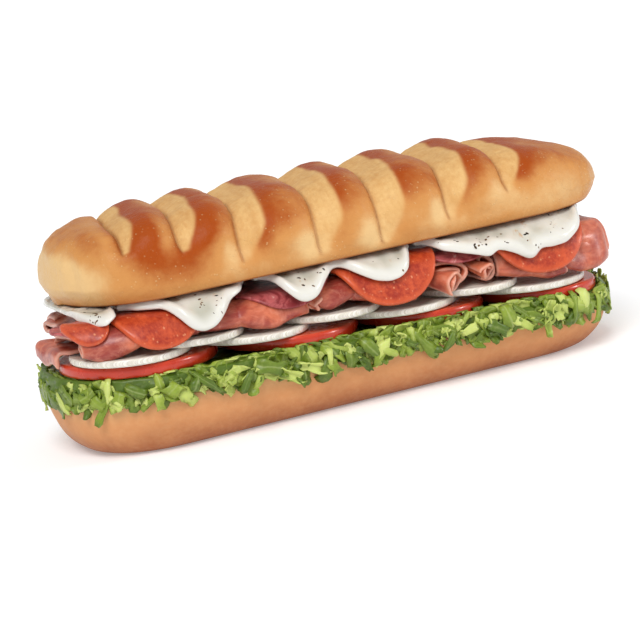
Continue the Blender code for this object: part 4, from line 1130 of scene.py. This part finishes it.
def greenLeaf():
    material, g, shader = newMoistFood("greenLeaf", 1.4, 0.15, 0.25, 0.12, (0.002, 0.003, 0.0008))
    place = g.place()
    ribDice, freshDice = g.parts(g.vector("diceC"))[::2]
    along, across = g.parts(g.vector("leafPlace"))[:2]
    rib = 1.0 - g.maths("ABSOLUTE", across + (g.grain(place, 200.0) - 0.5) * 0.7).between(0.0, 0.22)
    veins = g.grain(place, 700.0, 4.0, 0.6)
    cloud = g.grain(place, 130.0, 3.0, 0.5)
    fresh = (freshDice * 0.85 + cloud * 0.7 - 0.30 + along * 0.06).between(0.0, 1.0)
    colour = g.mix(fresh, tone(80, 104, 26), tone(160, 180, 62))
    colour = g.mix((fresh - 0.55).between(0.0, 0.5) * 0.8, colour, tone(206, 216, 124))
    colour = g.mix(rib * 0.28 * ribDice, colour, tone(206, 216, 150))
    colour = g.mix((veins - 0.5) * 0.6, colour, tone(196, 206, 120))
    feed(g, shader, colour=colour, roughness=0.34 + 0.2 * veins,
         normal=g.bump(veins * 0.6 + cloud * 0.8, 0.45, 0.0005))
    return material


def redTomato():
    material, g, shader = newMoistFood("redTomato", 1.45, 0.35, 0.12, 0.08, (0.004, 0.001, 0.0006))
    place = g.place()
    skin = g.value("skin")
    middle = g.value("fromMiddle")
    cloud = g.grain(place, 160.0, 3.0)
    seeds = 1.0 - g.cells(place, 260.0).between(0.12, 0.2)
    pockets = g.grain(place, 95.0, 1.0).between(0.42, 0.56)
    flesh = g.mix(cloud, tone(206, 66, 40), tone(228, 112, 76))
    flesh = g.mix(pockets * (1.0 - middle.between(0.7, 0.85)) * 0.7, flesh, tone(214, 92, 34))
    flesh = g.mix(seeds * pockets * (1.0 - middle.between(0.6, 0.8)), flesh, tone(236, 202, 120))
    rind = g.mix(cloud, tone(172, 38, 18), tone(206, 62, 34))
    colour = g.mix(skin, flesh, rind)
    feed(g, shader, colour=colour, roughness=0.2 + 0.15 * cloud, normal=g.bump(cloud, 0.15, 0.0004))
    return material


def whiteOnion():
    material, g, shader = newMoistFood("whiteOnion", 1.42, 0.2, 0.2, 0.25, (0.003, 0.003, 0.002))
    place = g.place()
    arc, middle, skin, level = (g.value(name) for name in ("arc", "fromMiddle", "skin", "level"))
    lines = g.grain(g.joined(arc * 1.4, middle * 0.4, level * 0.12), 1.0, 3.0, 0.7)
    rings = (middle * 34.0).sine() * 0.5 + 0.5
    cloud = g.grain(place, 120.0)
    colour = g.mix(lines.between(0.35, 0.7), tone(206, 200, 186), tone(246, 244, 236))
    colour = g.mix(rings * (1.0 - skin) * 0.35, colour, tone(208, 206, 184))
    colour = g.mix(cloud * 0.25, colour, tone(226, 214, 200))
    feed(g, shader, colour=colour, roughness=0.28 + 0.2 * cloud, normal=g.bump(lines, 0.3, 0.0003))
    return material


def pinkHam():
    material, g, shader = newMoistFood("pinkHam", 1.42, 0.32, 0.2, 0.12, (0.004, 0.0015, 0.001))
    place = g.place()
    edge = g.value("edge")
    cloud = g.grain(place, 75.0, 3.0, 0.5, 0.6)
    fibre = g.grain(g.vectors("MULTIPLY", place, (0.35, 1.0, 1.3)), 520.0, 4.0, 0.6)
    marble = g.grain(place, 210.0, 4.0, 0.6, 1.2)
    colour = g.mix(cloud.between(0.34, 0.64), tone(150, 58, 48), tone(208, 112, 80))
    colour = g.mix(marble.between(0.50, 0.66) * 0.38, colour, tone(222, 142, 116))
    colour = g.mix((0.5 - marble).between(0.02, 0.16) * 0.32, colour, tone(134, 50, 46))
    colour = g.mix((fibre - 0.45) * 0.9, colour, tone(226, 152, 124))
    colour = g.mix((1.0 - (edge + (cloud - 0.5) * 1.6).between(0.1, 1.4)) * 0.5, colour, tone(232, 184, 162))
    feed(g, shader, colour=colour, roughness=0.3 + 0.2 * fibre, normal=g.bump(fibre, 0.25, 0.0003))
    return material


def rosySalami():
    material, g, shader = newMoistFood("rosySalami", 1.42, 0.15, 0.25, 0.08, (0.003, 0.001, 0.001))
    place = g.place()
    flat = g.joined(g.value("flatX"), g.value("flatY"), 0.0)
    marble = g.grain(flat, 0.16, 5.0, 0.6, 1.4)
    small = g.grain(place, 700.0, 3.0)
    colour = g.mix(marble.between(0.38, 0.58), tone(134, 48, 52), tone(186, 92, 92))
    colour = g.mix(marble.between(0.60, 0.68) * 0.75, colour, tone(228, 176, 168))
    colour = g.mix((small - 0.5) * 0.5, colour, tone(206, 130, 124))
    feed(g, shader, colour=colour, roughness=0.32 + 0.2 * small, normal=g.bump(small + marble, 0.25, 0.0003))
    return material


def redPepperoni():
    material, g, shader = newMoistFood("redPepperoni", 1.42, 0.3, 0.18)
    place = g.place()
    flat = g.joined(g.value("flatX"), g.value("flatY"), 0.0)
    rim = g.value("fromMiddle")
    grainy = g.grain(flat, 0.7, 5.0, 0.65)
    spots = 1.0 - g.cells(flat, 0.62).between(0.10, 0.30)
    small = 1.0 - g.cells(flat, 1.5).between(0.08, 0.22)
    cloud = g.grain(flat, 0.16, 3.0, 0.5, 0.5)
    colour = g.mix((grainy * 0.6 + cloud * 0.5).between(0.35, 0.75), tone(148, 38, 20), tone(202, 82, 44))
    colour = g.mix(spots * g.grain(flat, 0.35).between(0.45, 0.55) * 0.7, colour, tone(222, 142, 100))
    colour = g.mix(small * 0.3, colour, tone(208, 104, 70))
    colour = g.mix(rim.between(0.86, 0.97) * 0.65, colour, tone(208, 88, 46))
    feed(g, shader, colour=colour, roughness=0.3 + 0.25 * grainy,
         normal=g.bump(grainy + spots * 0.5, 0.35, 0.0004))
    return material


def whiteCheese():
    material, g, shader = newMoistFood("whiteCheese", 1.42, 0.45, 0.12, 0.1, (0.003, 0.003, 0.002))
    place = g.place()
    edge, hollow = g.value("fromEdge"), g.value("hollow")
    cloud = g.grain(place, 85.0, 3.0, 0.5)
    stain = g.grain(place, 210.0, 3.0, 0.6, 0.5)
    # painted shade: greyer where the sheet sags into hollows
    colour = g.mix((cloud + hollow * 0.3).between(0.25, 0.7), tone(184, 183, 168), tone(216, 213, 202))
    # painted highlight: lighter along the rounded edge
    colour = g.mix(edge.between(0.5, 4.0), tone(224, 222, 214), colour)
    colour = g.mix(stain.between(0.60, 0.70) * edge.between(2.5, 6.0) * 0.7, colour, tone(190, 142, 88))
    feed(g, shader, colour=colour, roughness=0.18 + 0.16 * cloud, normal=g.bump(cloud, 0.25, 0.0006))
    return material


def darkHerb():
    material, g, shader = newMaterial("darkHerb", {"IOR": 1.4})
    colour = g.mix(g.grain(g.place(), 400.0).between(0.4, 0.65), tone(34, 28, 22), tone(112, 82, 52))
    feed(g, shader, colour=colour, roughness=0.6 + 0.1 * g.grain(g.place(), 900.0))
    return material


def paleFloor():
    material, g, shader = newMaterial("paleFloor", {"Specular IOR Level": 0.0, "Emission Strength": 0.24,
                                                   "Emission Color": (1.0, 1.0, 1.0, 1.0)})
    shade = g.grain(g.place(), 3.0)
    colour = g.mix(shade, tone(232, 233, 234), tone(236, 237, 238))
    feed(g, shader, colour=colour, roughness=0.8 + 0.1 * shade)
    return material


print("materials")
golden, pale, leaf = goldenCrust(), paleCrust(), greenLeaf()
tomato, onion, ham = redTomato(), whiteOnion(), pinkHam()
salami, pepperoni, cheese, herb = rosySalami(), redPepperoni(), whiteCheese(), darkHerb()

print("bread")
buildBunTop(bunTop, golden)
buildBunBottom(bunBottom, pale)
print("lettuce")
buildLettuceCore(lettuce, leaf)
buildLettuceLeaves(lettuce, leaf)
print("tomato and onion")
buildTomatoes(tomatoes, tomato)
buildOnions(onions, onion)
print("cold cuts")
buildHamFolds(hams, ham)
buildHamRolls(hams, ham)
buildHamEnd(hams, ham)
buildHamEdges(hamEdges, ham)
buildHamCones(hamCones, ham)
buildDrapedSlices("salamiSlice", "salami", "salami", salamis, salami)
buildDrapedSlices("pepperoniSlice", "pepperoni", "pepperoni", pepperonis, pepperoni)
print("cheese")
cheeseSheets = buildCheese(cheeses, cheese)
buildFlecks(flecks, cheeseSheets, herb)

# Camera at the photograph's angle; the picture is taken as 640 by 640 pixels
view = {"azimuth": -21.1, "elevation": 9.93, "roll": 8.85, "distance": 0.831, "aim": (0.0, 0.0, 0.044),
        "focalPixels": 2390.0, "picture": 640.0, "centreRow": 265.7, "sensor": 36.0}


def addCamera(look):
    azimuth, elevation, roll = (math.radians(look[key]) for key in ("azimuth", "elevation", "roll"))
    back = Vector((math.sin(azimuth) * math.cos(elevation), -math.cos(azimuth) * math.cos(elevation),
                   math.sin(elevation)))
    right = Vector((math.cos(azimuth), math.sin(azimuth), 0.0))
    turned = Matrix((right, back.cross(right), back)).transposed().to_4x4() @ Matrix.Rotation(-roll, 4, "Z")
    data = bpy.data.cameras.new("camera")
    data.lens = look["focalPixels"] / look["picture"] * look["sensor"]
    data.sensor_width = look["sensor"]
    data.shift_y = -(0.5 * look["picture"] - look["centreRow"]) / look["picture"]
    data.clip_start, data.clip_end = 0.01, 100.0
    camera = bpy.data.objects.new("camera", data)
    camera.matrix_world = Matrix.Translation(Vector(look["aim"]) + back * look["distance"]) @ turned
    bpy.context.scene.collection.objects.link(camera)
    bpy.context.scene.camera = camera


lights = {"sky": 0.5, "key": 2.0, "keyFrom": (-0.45, -0.7, 1.0), "keyAngle": 32.0, "side": 0.75,
          "sideFrom": (0.95, -0.48, 0.38), "sideAngle": 12.0}


def addSun(name, strength, towards, angle):
    data = bpy.data.lights.new(name, "SUN")
    data.energy = strength
    data.angle = math.radians(angle)
    sun = bpy.data.objects.new(name, data)
    sun.rotation_mode = "QUATERNION"
    sun.rotation_quaternion = Vector(towards).to_track_quat("Z", "Y")
    bpy.context.scene.collection.objects.link(sun)


def addStudio(look):
    world = bpy.data.worlds.new("studio")
    world.use_nodes = True
    world.node_tree.nodes["Background"].inputs["Strength"].default_value = look["sky"]
    world.node_tree.nodes["Background"].inputs["Color"].default_value = (1.0, 1.0, 1.0, 1.0)
    bpy.context.scene.world = world
    addSun("keyLight", look["key"], look["keyFrom"], look["keyAngle"])
    addSun("sideLight", look["side"], look["sideFrom"], look["sideAngle"])
    mesh = bpy.data.meshes.new("floor")
    mesh.from_pydata([(-20, -20, 0), (20, -20, 0), (20, 20, 0), (-20, 20, 0)], [], [(0, 1, 2, 3)])
    mesh.materials.append(paleFloor())
    floor = bpy.data.objects.new("floor", mesh)
    bpy.context.scene.collection.objects.link(floor)
    bpy.context.scene.view_settings.view_transform = "Standard"


print("camera and light")
addCamera(view)
addStudio(lights)
